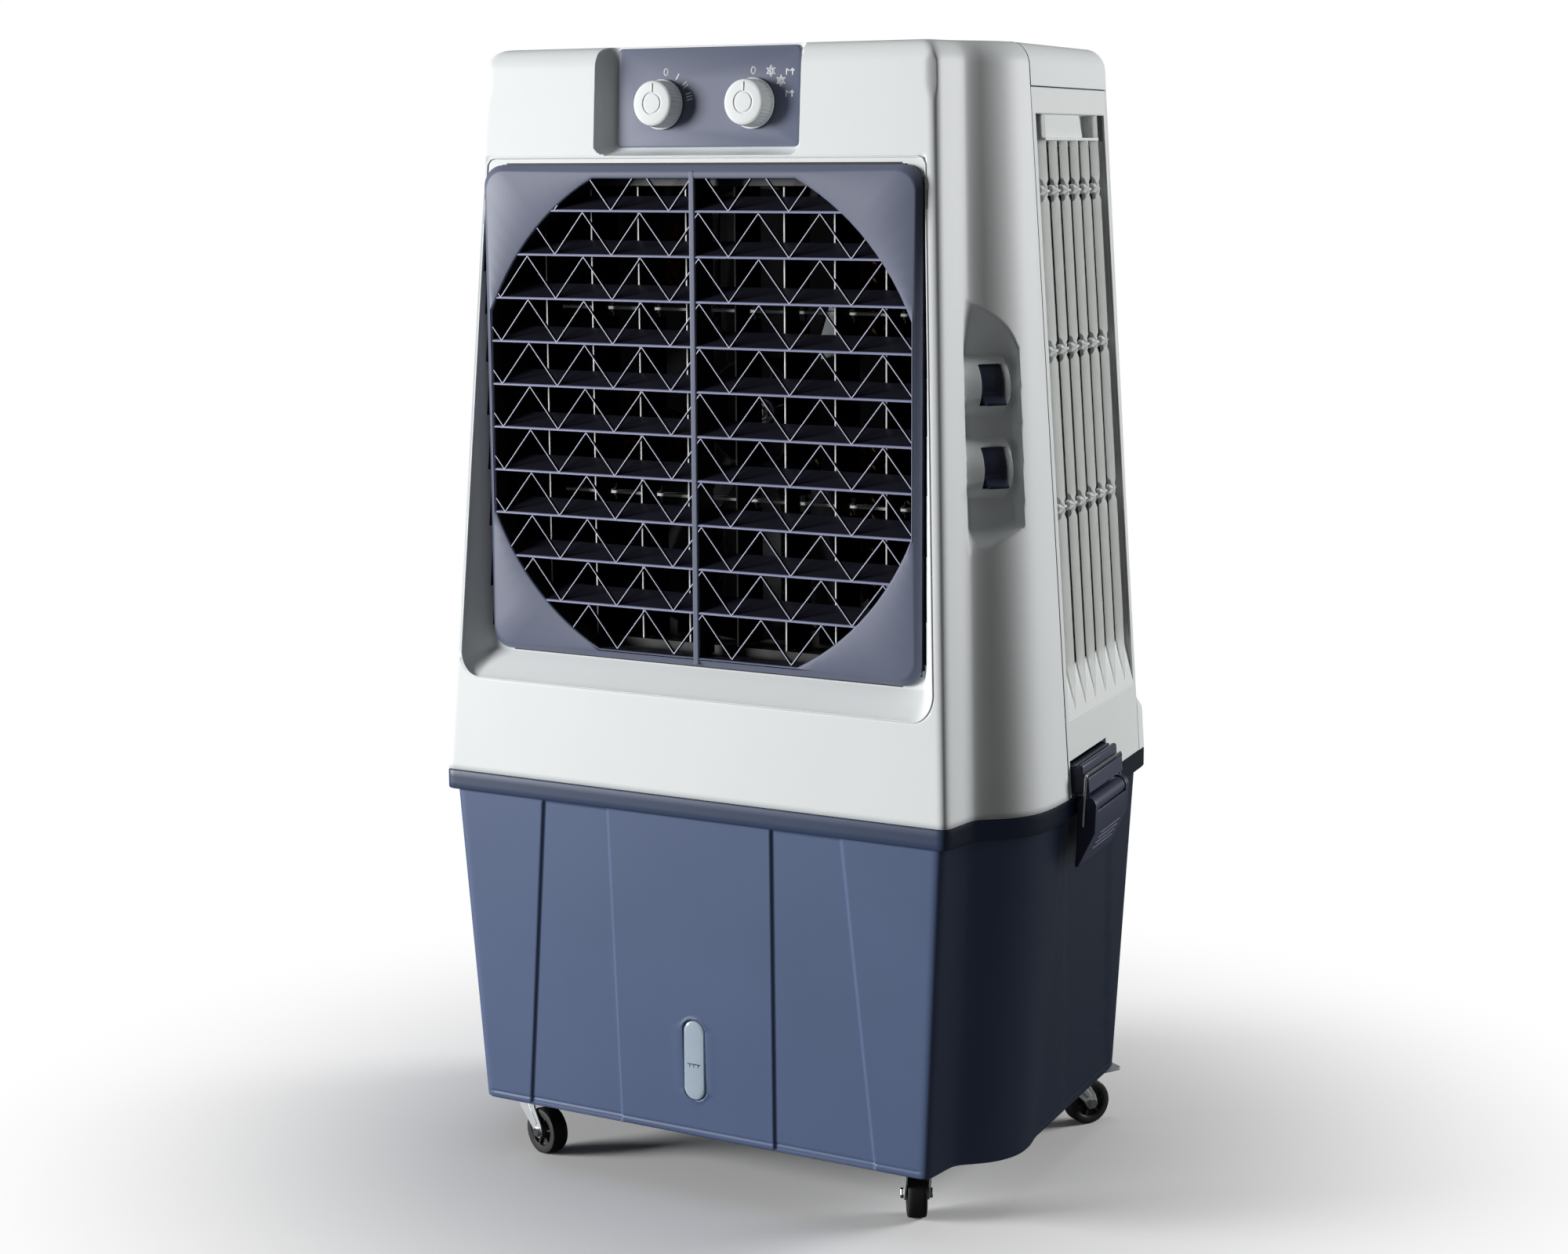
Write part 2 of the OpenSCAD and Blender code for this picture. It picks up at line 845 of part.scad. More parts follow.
// The hood over the pad's upper edge, open to the outside so that water can be poured in.
module filling_hood() {
    y0 = slat_y0 + 2.4;
    y1 = slat_y0 + (slats - 1) * slat_pitch;
    difference() {
        box([-17, y0 - 3, hood_z0 - 3], [-panel_t + eps, y1 + 3, field_z1 + 3]);
        box([-14, y0, hood_z0], [1, y1, field_z1]);
    }
    box([-panel_t, y0 - 3, hood_z0 - 3], [0, y1, hood_z0]);
}

module side_panel() {
    color(light_grey)
    on_side() {
        difference() {
            box([-panel_t, 0.8, 0.5], [0, panel_len, 0.5 + panel_h]);
            box([-10, field_y0, ramp_z0], [10, field_y1, field_z1]);
            box([-10, keeper_y0, -1], [10, keeper_y1, keeper_z1]);
        }
        along_side(field_y0 - 1, field_y1 + 1)
            polygon([[0, ramp_z0], [-8, ramp_z1], [-11, ramp_z1], [-panel_t, ramp_z0 - 1], [-1, ramp_z0 - 1]]);
        slat_row();
        filling_hood();
        difference() {
            box([-tray_depth, tray_y0, tray_z0], [-panel_t + eps, tray_y1, tray_z1]);
            box([-tray_depth - 2, tray_y0 + 3, tray_z0 + 3], [0, tray_y1 - 3, tray_z1 + 7]);
        }
    }
}

module side_pad() {
    color(pad_brown)
    on_side()
        box([1 - tray_depth, tray_y0 + 3.5, tray_z0 + 3.5], [-13, tray_y1 - 3.5, tray_z1 - 4]);
}

rear_panel_y = 206;
pad_frame_y = 160;   // front edge of the frame that holds the rear pad
module rear_panel() {
    color(navy) {
        difference() {
            front_extrude(rear_depth + 0.5, rear_panel_y)
                rear_trapezoid(12);
            front_extrude(rear_depth - 1, rear_panel_y - 3)
                rear_trapezoid(9);
            front_extrude(rear_depth - 1, rear_panel_y + 1)
                rear_trapezoid(-12);
        }
        front_extrude(rear_panel_y - 12, rear_panel_y)
            intersection() {
                rear_trapezoid(-10);
                union() {
                    for (x = [-200:25:200])
                        translate([x - 1.5, rear_open_z0 - 20])
                            square([3, 600]);
                    for (z = [634, 768, 902])
                        translate([-250, z - 2])
                            square([500, 4]);
                }
            }
        difference() {
            front_extrude(pad_frame_y, rear_panel_y - 2)
                rear_trapezoid(-4);
            front_extrude(pad_frame_y - 1, rear_panel_y + 1)
                rear_trapezoid(-7);
        }
    }
}

module cooling_pad_rear() {
    color(pad_brown)
    front_extrude(pad_frame_y + 3, rear_panel_y - 14)
        rear_trapezoid(-7.5);
}

// ---------------------------------------------------------------- water circuit

pump_x = -175;
pump_y = 118;
pump_floor = caster_floor + 3;

module pump_body() {
    color(black)
    translate([pump_x, pump_y, pump_floor])
        difference() {
            union() {
                box([-32, -30, 0], [32, 30, 58]);
                translate([0, 0, 57])
                    cylinder(r = 10, h = 18);
            }
            translate([0, 0, 6])
                cylinder(r = 20, h = 16);
            translate([0, 0, -1])
                cylinder(r = 2.05, h = 40);
            for (x = [-24:8:24])
                box([x - 2, -31, 6], [x + 2, -14, 20]);
            translate([0, 0, 60])
                cylinder(r = 6, h = 20);
        }
}

module pump_impeller() {
    color(light_grey)
    translate([pump_x, pump_y, pump_floor]) {
        translate([0, 0, 1])
            cylinder(r = 2, h = 32);
        translate([0, 0, 8])
            cylinder(r = 14, h = 2);
        for (a = [0:60:300])
            rotate([0, 0, a])
                box([1, -0.8, 9], [17, 0.8, 18]);
    }
}

hose_top = 1102;
module supply_hose() {
    color([0.85, 0.86, 0.84])
    translate([pump_x, pump_y, 0])
        difference() {
            translate([0, 0, pump_floor + 62])
                cylinder(r = 13, h = hose_top - pump_floor - 62);
            translate([0, 0, pump_floor + 60])
                cylinder(r = 10.05, h = hose_top);
        }
}

module water_distributor() {
    color(off_white)
    difference() {
        union() {
            box([-222, -60, hose_top], [222, 150, hose_top + 24]);
            translate([pump_x, pump_y, hose_top - 14])
                cylinder(r = 10, h = 16);
        }
        box([-219, -57, hose_top + 3], [219, 147, hose_top + 26]);
        translate([pump_x, pump_y, hose_top - 20])
            cylinder(r = 7, h = 30);
        for (x = [-200:50:200], y = [-45, 45, 100])
            if (x > -100 || y < 0)
                translate([x, y, hose_top - 1])
                    cylinder(r = 2, h = 6);
    }
}

module float_valve() {
    color([0.80, 0.72, 0.45])
    translate([inlet_x, 0, inlet_z])
        difference() {
            union() {
                y_cylinder(inlet_r, 200, 232);
                y_cylinder(14, 198.4, 206);
                y_cylinder(8.9, 180, 201);
                y_cylinder(14, 172, 193.2);
                for (x = [-9, 5])
                    box([x, 150, -6], [x + 4, 174, 6]);
            }
            y_cylinder(4, 176, 240);
            translate([0, 156, 0])
                x_cylinder(2.05, -20, 20);
        }
}

module float_arm() {
    color([0.80, 0.72, 0.45])
    translate([inlet_x, 156, inlet_z]) {
        x_cylinder(2, -11, 11);
        translate([0, 6, 0])
            y_cylinder(3, -105, 4);
        translate([0, -118, 0])
            sphere(r = 26);
    }
}

// ---------------------------------------------------------------- latches

latch_mid_y = 70;    // middle of the latch along the side face
latch_half = 62;
barrel_half = 50;
hinge_x = 14;
hinge_z = -9;
bail_x = 10;
bail_z = -30;
bar_x = 16;
bar_z = 23;
wire_r = 1.5;
lever_pin_r = 3;

module latch_frame() {
    on_side()
        translate([0, latch_mid_y, 0])
            children();
}

module both_sides() {
    children();
    mirror([1, 0, 0])
        children();
}

module latch_keepers() {
    color(navy)
    both_sides()
        latch_frame()
            difference() {
                box([-rail_x, -latch_half, 4], [18, latch_half, 33]);
                box([12.5, -latch_half - 1, bar_z - wire_r - 0.5], [20, latch_half + 1, 40]);
                box([5, -latch_half - 1, 30], [8, latch_half + 1, 40]);
            }
}

// The pressed steel base: a barrel on a foot that is screwed to the tank's flange.
module latch_bases() {
    color(navy)
    both_sides()
        latch_frame() {
            translate([hinge_x, 0, hinge_z])
                y_cylinder(9, -barrel_half, barrel_half);
            box([0.1, -barrel_half, hinge_z - 8], [hinge_x, barrel_half, hinge_z + 8]);
            translate([hinge_x, 0, hinge_z])
                y_cylinder(lever_pin_r, -latch_half, latch_half);
        }
}

// A slice of the lever from y0 to y1 along the latch.
module lever_slice(y0, y1) {
    translate([0, y1, 0])
        rotate([90, 0, 0])
            linear_extrude(y1 - y0)
                lever_profile();
}

module latch_lever() {
    face_t = 2.6;
    lobe_y = barrel_half + 0.3;
    color(navy)
    latch_frame()
        difference() {
            union() {
                for (s = [0, 1])
                    mirror([0, s, 0])
                        lever_slice(lobe_y, lobe_y + 11);
                difference() {
                    lever_slice(-barrel_half - 1, barrel_half + 1);
                    translate([-face_t, 0, 0])
                        lever_slice(-barrel_half - 2, barrel_half + 2);
                    translate([hinge_x, 0, hinge_z])
                        y_cylinder(10.5, -barrel_half - 2, barrel_half + 2);
                    box([-20, -80, hinge_z - 6], [30, 80, 30]);
                }
            }
            translate([hinge_x, 0, hinge_z])
                y_cylinder(lever_pin_r + 0.05, -80, 80);
            translate([bail_x, 0, bail_z])
                y_cylinder(wire_r + 0.05, -80, 80);
        }
}

module lever_profile() {
    translate([hinge_x, hinge_z])
        circle(r = 10);
    polygon([[hinge_x - 8.8, hinge_z - 4.7], [hinge_x + 9.6, hinge_z - 2.8], [hinge_x + 7, hinge_z - 28],
             [1, hinge_z - 63], [-2, hinge_z - 63], [2, hinge_z - 30]]);
}

// A quarter bend of the wire about the x axis, from the +y side round to the +z side.
module wire_bend(r) {
    rotate([0, 90, 0])
        rotate([0, 0, 90])
            rotate_extrude(angle = 90)
                translate([r, 0])
                    circle(r = wire_r);
}

module latch_bail() {
    leg_y = latch_half + 3;
    bend = 4;
    lean = atan((bar_x - bail_x) / (bar_z - bail_z));
    leg = norm([bar_x - bail_x, bar_z - bail_z]);
    color(steel)
    latch_frame()
        translate([bail_x, 0, bail_z])
            rotate([0, lean, 0]) {
                translate([0, 0, leg])
                    y_cylinder(wire_r, bend - leg_y, leg_y - bend);
                for (s = [0, 1])
                    mirror([0, s, 0]) {
                        y_cylinder(wire_r, barrel_half + 4, leg_y - bend);
                        translate([0, leg_y, bend])
                            cylinder(r = wire_r, h = leg - 2 * bend);
                        translate([0, leg_y - bend, leg - bend])
                            wire_bend(bend);
                        translate([0, leg_y - bend, bend])
                            mirror([0, 0, 1])
                                wire_bend(bend);
                    }
            }
}

// ---------------------------------------------------------------- casters

axle_z = wheel_d / 2;
fork_top = 62;
fork_gap = wheel_w / 2 + 1;
pedal_z = 56.5;
pedal_x = 12;

module caster_plates() {
    color(zinc)
    at_casters() {
        difference() {
            box([-23, -23, caster_floor - 2], [23, 23, caster_floor - eps]);
            for (x = [-1, 1], y = [-1, 1])
                translate([x * caster_hole_half, y * caster_hole_half, caster_floor - 3])
                    cylinder(r = 2.2, h = 4);
        }
        translate([0, 0, fork_top + 0.3])
            cylinder(r = 15, h = caster_floor - 2 - fork_top - 0.3 + eps);
        translate([0, 0, fork_top - 3.4])
            cylinder(r = 4, h = 8);
        translate([0, 0, fork_top - 4.4])
            cylinder(r = 6.5, h = 2);
    }
}

module caster_place(i) {
    c = caster_spots[i];
    translate([c[0], c[1], 0])
        rotate([0, 0, c[2]])
            children();
}

module fork_leg() {
    polygon([[-15, fork_top], [12, fork_top], [16, 50], [trail + 6, axle_z + 2], [trail + 5, axle_z - 5],
             [trail - 3, axle_z - 6], [trail - 8, axle_z], [-8, 46]]);
}

module caster_fork(i, braked) {
    color(zinc)
    caster_place(i)
        difference() {
            union() {
                translate([0, 0, fork_top - 2])
                    cylinder(r = 17, h = 2);
                box([-14, -fork_gap - 1.5, fork_top - 2], [12, fork_gap + 1.5, fork_top]);
                for (y = [-fork_gap - 2, fork_gap])
                    front_extrude(y, y + 2)
                        fork_leg();
                translate([trail, 0, axle_z])
                    y_cylinder(3, -fork_gap - 3.5, fork_gap + 3.5);
                if (braked)
                    translate([pedal_x, 0, pedal_z])
                        y_cylinder(1.5, -fork_gap - 1, fork_gap + 1);
            }
            translate([0, 0, fork_top - 5])
                cylinder(r = 4.06, h = 8);
        }
}

module caster_wheel(i) {
    color(black)
    caster_place(i)
        translate([trail, 0, axle_z])
            difference() {
                union() {
                    y_cylinder(wheel_d / 2, -wheel_w / 2, wheel_w / 2);
                    y_cylinder(7, -wheel_w / 2 - 0.6, wheel_w / 2 + 0.6);
                }
                // The dished side faces round the hub.
                for (s = [0, 1])
                    mirror([0, s, 0])
                        difference() {
                            y_cylinder(20, wheel_w / 2 - 4, wheel_w / 2 + 1);
                            y_cylinder(9, 0, wheel_w);
                        }
                y_cylinder(3.05, -20, 20);
            }
}

module brake_pedal(i) {
    color(zinc)
    caster_place(i)
        difference() {
            union() {
                translate([pedal_x, 0, pedal_z])
                    y_cylinder(3, 2 - fork_gap, fork_gap - 2);
                box([pedal_x, 2 - fork_gap, pedal_z + 0.6], [50, fork_gap - 2, pedal_z + 2.6]);
                box([32, -14, pedal_z + 0.6], [60, 14, pedal_z + 2.6]);
            }
            translate([pedal_x, 0, pedal_z])
                y_cylinder(1.55, -20, 20);
        }
}

// ---------------------------------------------------------------- mains lead

power_x = 120;
power_z = 456;
module power_cord() {
    drop = 250;
    plug_r = 11;
    // The bend brings the plug as far behind the origin as the housing's foot is in front of it.
    bend = front_depth - skirt_depth - 12 - plug_r;
    color(black)
    translate([power_x, 0, power_z]) {
        y_cylinder(6.9, 196, skirt_depth + 1);
        y_cylinder(9, skirt_depth, skirt_depth + 8);
        y_cylinder(4, skirt_depth + 7, skirt_depth + 12);
        translate([0, skirt_depth + 12, -bend])
            rotate([0, -90, 0])
                rotate_extrude(angle = 90)
                    translate([bend, 0])
                        circle(r = 4);
        translate([0, skirt_depth + 12 + bend, -bend - drop])
            cylinder(r = 4, h = drop);
        translate([0, skirt_depth + 12 + bend, -bend - drop - 38])
            cylinder(r = plug_r, h = 38);
        for (x = [-5, 5])
            translate([x, skirt_depth + 12 + bend, -bend - drop - 56])
                cylinder(r = 2, h = 20);
    }
}

// ---------------------------------------------------------------- nodes

water_tank();
level_window();
drain_plug();
front_shell();
rear_shell();
control_panel();
rotary_switches();
knob(-knob_x);  // speed_knob
knob(knob_x);  // mode_knob
front_grille();
vane_frame();
swing_vane(0);  // swing_vane_1
swing_vane(1);  // swing_vane_2
swing_vane(2);  // swing_vane_3
swing_vane(3);  // swing_vane_4
swing_vane(4);  // swing_vane_5
swing_vane(5);  // swing_vane_6
swing_vane(6);  // swing_vane_7
swing_vane(7);  // swing_vane_8
vane_link_bars();
swing_motor();
fan_shroud();
motor_bracket();
fan_motor();
motor_shaft();
fan_impeller();
fan_nut();
side_panel();  // side_panel_right
mirror([1, 0, 0]) side_panel();  // side_panel_left
rear_panel();
side_pad();  // cooling_pad_right
mirror([1, 0, 0]) side_pad();  // cooling_pad_left
cooling_pad_rear();
water_distributor();
supply_hose();
pump_body();
pump_impeller();
float_valve();
float_arm();
thumb_lever(pod_zs[0]);  // thumb_lever_upper
thumb_lever(pod_zs[1]);  // thumb_lever_lower
latch_keepers();
latch_bases();
latch_lever();  // latch_lever_right
mirror([1, 0, 0]) latch_lever();  // latch_lever_left
latch_bail();  // latch_bail_right
mirror([1, 0, 0]) latch_bail();  // latch_bail_left
caster_plates();
caster_fork(0, false);  // caster_fork_fl
caster_fork(1, false);  // caster_fork_fr
caster_fork(2, true);  // caster_fork_rl
caster_fork(3, true);  // caster_fork_rr
caster_wheel(0);  // caster_wheel_fl
caster_wheel(1);  // caster_wheel_fr
caster_wheel(2);  // caster_wheel_rl
caster_wheel(3);  // caster_wheel_rr
brake_pedal(2);  // brake_pedal_rl
brake_pedal(3);  // brake_pedal_rr
power_cord();
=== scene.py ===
"""Looks for the evaporative cooler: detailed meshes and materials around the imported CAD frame."""
import json
import math
import bmesh
import bpy
import numpy as np
from mathutils import Matrix, Vector

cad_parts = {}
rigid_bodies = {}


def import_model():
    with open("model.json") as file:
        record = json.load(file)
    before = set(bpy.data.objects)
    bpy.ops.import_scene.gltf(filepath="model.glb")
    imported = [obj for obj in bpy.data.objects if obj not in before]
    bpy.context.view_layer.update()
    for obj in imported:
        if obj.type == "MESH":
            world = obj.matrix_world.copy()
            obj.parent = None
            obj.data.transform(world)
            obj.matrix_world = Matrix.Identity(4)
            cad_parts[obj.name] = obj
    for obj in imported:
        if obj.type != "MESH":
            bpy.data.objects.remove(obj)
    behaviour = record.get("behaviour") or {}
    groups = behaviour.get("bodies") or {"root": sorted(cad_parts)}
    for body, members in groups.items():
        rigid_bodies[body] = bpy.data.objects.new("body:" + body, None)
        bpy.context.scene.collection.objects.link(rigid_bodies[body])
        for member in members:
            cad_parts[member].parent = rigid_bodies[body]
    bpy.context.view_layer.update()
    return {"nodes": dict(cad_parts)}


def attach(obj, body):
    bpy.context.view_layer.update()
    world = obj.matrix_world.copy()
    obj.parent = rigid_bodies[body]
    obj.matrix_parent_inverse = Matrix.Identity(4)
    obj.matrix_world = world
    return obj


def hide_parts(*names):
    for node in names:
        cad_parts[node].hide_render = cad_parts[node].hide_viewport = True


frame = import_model()
MM = 0.001
ROOT = "cooler_body"

# ------------------------------------------------------------------ materials


def feed(tree, target, inputs):
    """Sets a node's inputs, by name or number, to values or to the sockets that drive them."""
    for key, value in inputs.items():
        if isinstance(value, bpy.types.NodeSocket):
            tree.links.new(value, target.inputs[key])
        else:
            target.inputs[key].default_value = value


def node(tree, kind, inputs, **settings):
    """Adds a shader node with its settings and feeds its inputs."""
    made = tree.nodes.new("ShaderNode" + kind)
    for key, value in settings.items():
        setattr(made, key, value)
    feed(tree, made, inputs)
    return made


def surface(name, colour, rough=0.42, grain=0.0006, bump=0.1, mottle=0.05, bevel=0.0011, wear=0.12,
            metal=0.0, specular=0.45, coat=0.0, streak=0.0, worn=(0.9, 0.92, 0.94), through=0.0):
    """A moulded or painted surface: fine grain, cloudy tone, uneven gloss, soft and slightly worn edges."""
    mat = bpy.data.materials.new(name)
    mat.use_nodes = True
    tree = mat.node_tree
    bsdf = tree.nodes["Principled BSDF"]
    coords = node(tree, "TexCoord", {}).outputs["Object"]
    drawn = node(tree, "Mapping", {"Vector": coords, "Scale": (1, 1, 1 - 0.97 * streak)})
    clouds = node(tree, "TexNoise", {"Vector": coords, "Scale": 7.0, "Detail": 5.0, "Roughness": 0.6})
    specks = node(tree, "TexNoise", {"Vector": drawn.outputs["Vector"], "Scale": 1 / grain, "Detail": 3.0,
                                     "Roughness": 0.55}).outputs["Fac"]
    tone = node(tree, "MapRange", {"Value": clouds.outputs["Fac"], "From Min": 0.3, "From Max": 0.7,
                                   "To Min": 1 - mottle, "To Max": 1 + mottle})
    tint = node(tree, "VectorMath", {0: colour, "Scale": tone.outputs["Result"]}, operation="SCALE")

    # Where the rounded normal leaves the flat one there is an edge, and edges are worn paler.
    soft = node(tree, "Bevel", {"Radius": bevel}, samples=4).outputs["Normal"]
    flat = node(tree, "NewGeometry", {}).outputs["Normal"]
    facing = node(tree, "VectorMath", {0: soft, 1: flat}, operation="DOT_PRODUCT")
    edge = node(tree, "MapRange", {"Value": facing.outputs["Value"], "From Min": 0.99, "From Max": 0.82,
                                   "To Max": wear})
    paint_mix = node(tree, "Mix", {0: edge.outputs["Result"], 6: tint.outputs["Vector"], 7: (*worn, 1)},
                     data_type="RGBA")
    gloss = node(tree, "MapRange", {"Value": specks, "To Min": rough - 0.06, "To Max": rough + 0.08})
    relief = node(tree, "Bump", {"Strength": bump, "Distance": 0.0004, "Height": specks, "Normal": soft})
    feed(tree, bsdf, {"Metallic": metal, "Specular IOR Level": specular, "Coat Weight": coat,
                      "Coat Roughness": 0.15, "Base Color": paint_mix.outputs[2],
                      "Roughness": gloss.outputs["Result"], "Normal": relief.outputs["Normal"]})
    if through:
        # Thin pale plastic glows a little when it is lit from its other side.
        glow = node(tree, "BsdfTranslucent", {"Color": (0.95, 0.96, 0.95, 1)})
        blend = node(tree, "MixShader", {"Fac": through, 1: bsdf.outputs["BSDF"], 2: glow.outputs["BSDF"]})
        feed(tree, tree.nodes["Material Output"], {"Surface": blend.outputs["Shader"]})
    return mat


MAT, SLOT = {}, {}


def add_look(key, slot, name, colour, **settings):
    """Adds a surface under a short key, with the slot that it fills."""
    MAT[key], SLOT[key] = surface(name, colour, **settings), slot


def pad_look(key, name, colour):
    """Corrugated paper: fibres, darker wet patches, rough."""
    add_look(key, "pad_cellulose", name, colour, rough=0.9, grain=0.0011, bump=0.5, mottle=0.35,
             bevel=0.0004, wear=0.2, worn=tuple(1.6 * c for c in colour), specular=0.12)


BLUE_WORN = (0.4, 0.46, 0.58)
add_look("white", "white_plastic", "white_plastic", (0.80, 0.83, 0.835), rough=0.48, grain=0.0007, bump=0.05,
         mottle=0.012, wear=0.1, bevel=0.0010, specular=0.28)
add_look("grey", "pale_grey_plastic", "pale_grey_plastic", (0.74, 0.77, 0.765), rough=0.46, bump=0.06,
         mottle=0.02, wear=0.35, bevel=0.0009)
# Painted shade: the fan is pale grey plastic, made near black here for the shade it sits in behind the
# grille.
add_look("fan", "pale_grey_plastic", "fan_plastic_painted_shade", (0.075, 0.072, 0.082), rough=0.38, bump=0.06, wear=0.3,
         bevel=0.0007, worn=(0.3, 0.3, 0.33))
add_look("slat", "pale_grey_plastic", "pale_grey_slats", (0.80, 0.82, 0.81), rough=0.46, bump=0.06,
         mottle=0.02, wear=0.35, bevel=0.0005, through=0.8)
add_look("slate", "slate_plastic", "slate_plastic", (0.128, 0.145, 0.215), bump=0.05, mottle=0.03, wear=0.22,
         specular=0.3, bevel=0.0012, worn=(0.55, 0.58, 0.68))
# Painted shade: the grille is slate plastic throughout; its blades, stiffeners, the web behind its middle bar
# and the gaps round its frame are made near black for the shade inside it.
add_look("grille", "slate_plastic", "slate_grille_painted_shade", (0.014, 0.014, 0.024), rough=0.45, bump=0.05,
         mottle=0.1, wear=0.5, bevel=0.0006, worn=(0.2, 0.22, 0.3), specular=0.25)
# Painted highlight: the blades' front noses are made paler to stand for the light that catches them.
add_look("edge", "slate_plastic", "slate_grille_painted_highlight", (0.26, 0.28, 0.43), rough=0.32, bump=0.04, wear=0.5,
         bevel=0.0006, worn=(0.7, 0.72, 0.85))
# Painted highlight: the stiffeners' front faces are made pale to stand for the light that catches them.
add_look("rib", "slate_plastic", "slate_rib_painted_highlight", (0.62, 0.64, 0.80), rough=0.3, bump=0.04, wear=0.5,
         bevel=0.0003, worn=(0.9, 0.92, 1.0))
add_look("vane", "black_plastic", "vane_black", (0.006, 0.005, 0.007), rough=0.6, bump=0.05, mottle=0.2,
         wear=0.1, bevel=0.0003, worn=(0.1, 0.1, 0.12), specular=0.12)
add_look("rim", "slate_plastic", "tank_rim_plastic", (0.030, 0.050, 0.108), grain=0.0008, bump=0.07,
         mottle=0.035, wear=0.2, bevel=0.0014, worn=BLUE_WORN)
add_look("tank", "slate_plastic", "tank_plastic", (0.085, 0.125, 0.235), grain=0.0008, bump=0.07,
         mottle=0.035, wear=0.2, bevel=0.0014, worn=BLUE_WORN)
add_look("navy", "navy_plastic", "navy_plastic", (0.022, 0.03, 0.062), rough=0.38, bump=0.06, wear=0.3,
         bevel=0.0009, worn=(0.3, 0.33, 0.42))
add_look("navy_steel", "navy_steel", "navy_steel", (0.028, 0.037, 0.072), rough=0.33, grain=0.0009, bump=0.09,
         wear=0.35, bevel=0.0008, worn=(0.4, 0.43, 0.5), coat=0.2)
add_look("black", "black_plastic", "black_plastic", (0.012, 0.012, 0.014), bump=0.08, mottle=0.08, wear=0.25,
         bevel=0.0008, worn=(0.2, 0.2, 0.22))
add_look("hose", "hose_plastic", "hose_plastic", (0.62, 0.64, 0.61), rough=0.3, bump=0.05)
add_look("zinc", "zinc_steel", "zinc_steel", (0.80, 0.83, 0.85), rough=0.3, grain=0.0014, bump=0.06,
         mottle=0.12, metal=0.6, wear=0.25, bevel=0.0006)
add_look("bright", "bright_steel", "bright_steel", (0.72, 0.73, 0.74), rough=0.16, grain=0.0009, bump=0.05,
         mottle=0.06, metal=1.0, wear=0.1, bevel=0.0004, streak=1.0)
add_look("cast", "cast_housing", "cast_housing", (0.42, 0.43, 0.45), rough=0.5, grain=0.0012, bump=0.3,
         mottle=0.1, metal=1.0)
pad_look("pad", "pad_cellulose", (0.36, 0.17, 0.06))
pad_look("pad_face", "pad_cellulose_outside", (0.05, 0.045, 0.035))
add_look("brass", "valve_brass", "valve_brass", (0.62, 0.47, 0.2), rough=0.3, bump=0.08, mottle=0.1,
         metal=1.0)
add_look("rubber", "tread_rubber", "tread_rubber", (0.014, 0.014, 0.015), rough=0.6, grain=0.0008, bump=0.2,
         mottle=0.15, wear=0.2, worn=(0.12, 0.12, 0.12))
add_look("hub", "tread_rubber", "wheel_hub", (0.03, 0.03, 0.032), rough=0.35, bump=0.06, mottle=0.08,
         wear=0.3, worn=(0.3, 0.3, 0.3))
add_look("legend", "white_plastic", "legend_white", (0.85, 0.86, 0.88), rough=0.5, bump=0.05, mottle=0.02)
# The level window is milky and glossy.
add_look("window", "window_clear", "level_window_clear", (0.62, 0.74, 0.86), rough=0.12, bump=0.02,
         mottle=0.08, specular=0.6, coat=0.6)
MAT["window"].node_tree.nodes["Principled BSDF"].inputs["Transmission Weight"].default_value = 0.35

# ------------------------------------------------------------------ mesh helpers


def piece(name, verts, faces, look, body=ROOT, replaces=(), sharp=35, place=None):
    """A mesh piece from points in millimetres. place maps local millimetres to the row frame."""
    points = np.asarray(verts, float)
    if place is not None:
        points = place(points)
    mesh = bpy.data.meshes.new(name)
    mesh.from_pydata((points * MM).tolist(), [], [tuple(int(i) for i in f) for f in faces])
    bm = bmesh.new()
    bm.from_mesh(mesh)
    bmesh.ops.remove_doubles(bm, verts=bm.verts, dist=0.00002)
    if all(len(e.link_faces) == 2 for e in bm.edges):
        bmesh.ops.recalc_face_normals(bm, faces=bm.faces)
    bm.to_mesh(mesh)
    bm.free()
    mesh.materials.append(MAT[look])
    mesh.polygons.foreach_set("use_smooth", [True] * len(mesh.polygons))
    mesh.set_sharp_from_angle(angle=math.radians(sharp))
    ob = bpy.data.objects.new(name, mesh)
    bpy.context.scene.collection.objects.link(ob)
    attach(ob, body)
    if replaces:
        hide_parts(*replaces)
    return ob


def grid_faces(rows, cols, closed=False):
    """Faces between the rows of a grid of points; closed joins the last column to the first."""
    last = cols if closed else cols - 1
    faces = []
    for r in range(rows - 1):
        for c in range(last):
            d = (c + 1) % cols
            faces.append((r * cols + c, r * cols + d, (r + 1) * cols + d, (r + 1) * cols + c))
    return faces


# Faces of a block whose points are two loops of four.
BLOCK = [(0, 1, 2, 3), (7, 6, 5, 4), (0, 4, 5, 1), (1, 5, 6, 2), (2, 6, 7, 3), (3, 7, 4, 0)]


def sheet_faces(n):
    """Faces of a sheet whose points are an outline of n points and its copy on the other side."""
    return ([tuple(reversed(range(n))), tuple(range(n, 2 * n))]
            + [(k, (k + 1) % n, (k + 1) % n + n, k + n) for k in range(n)])


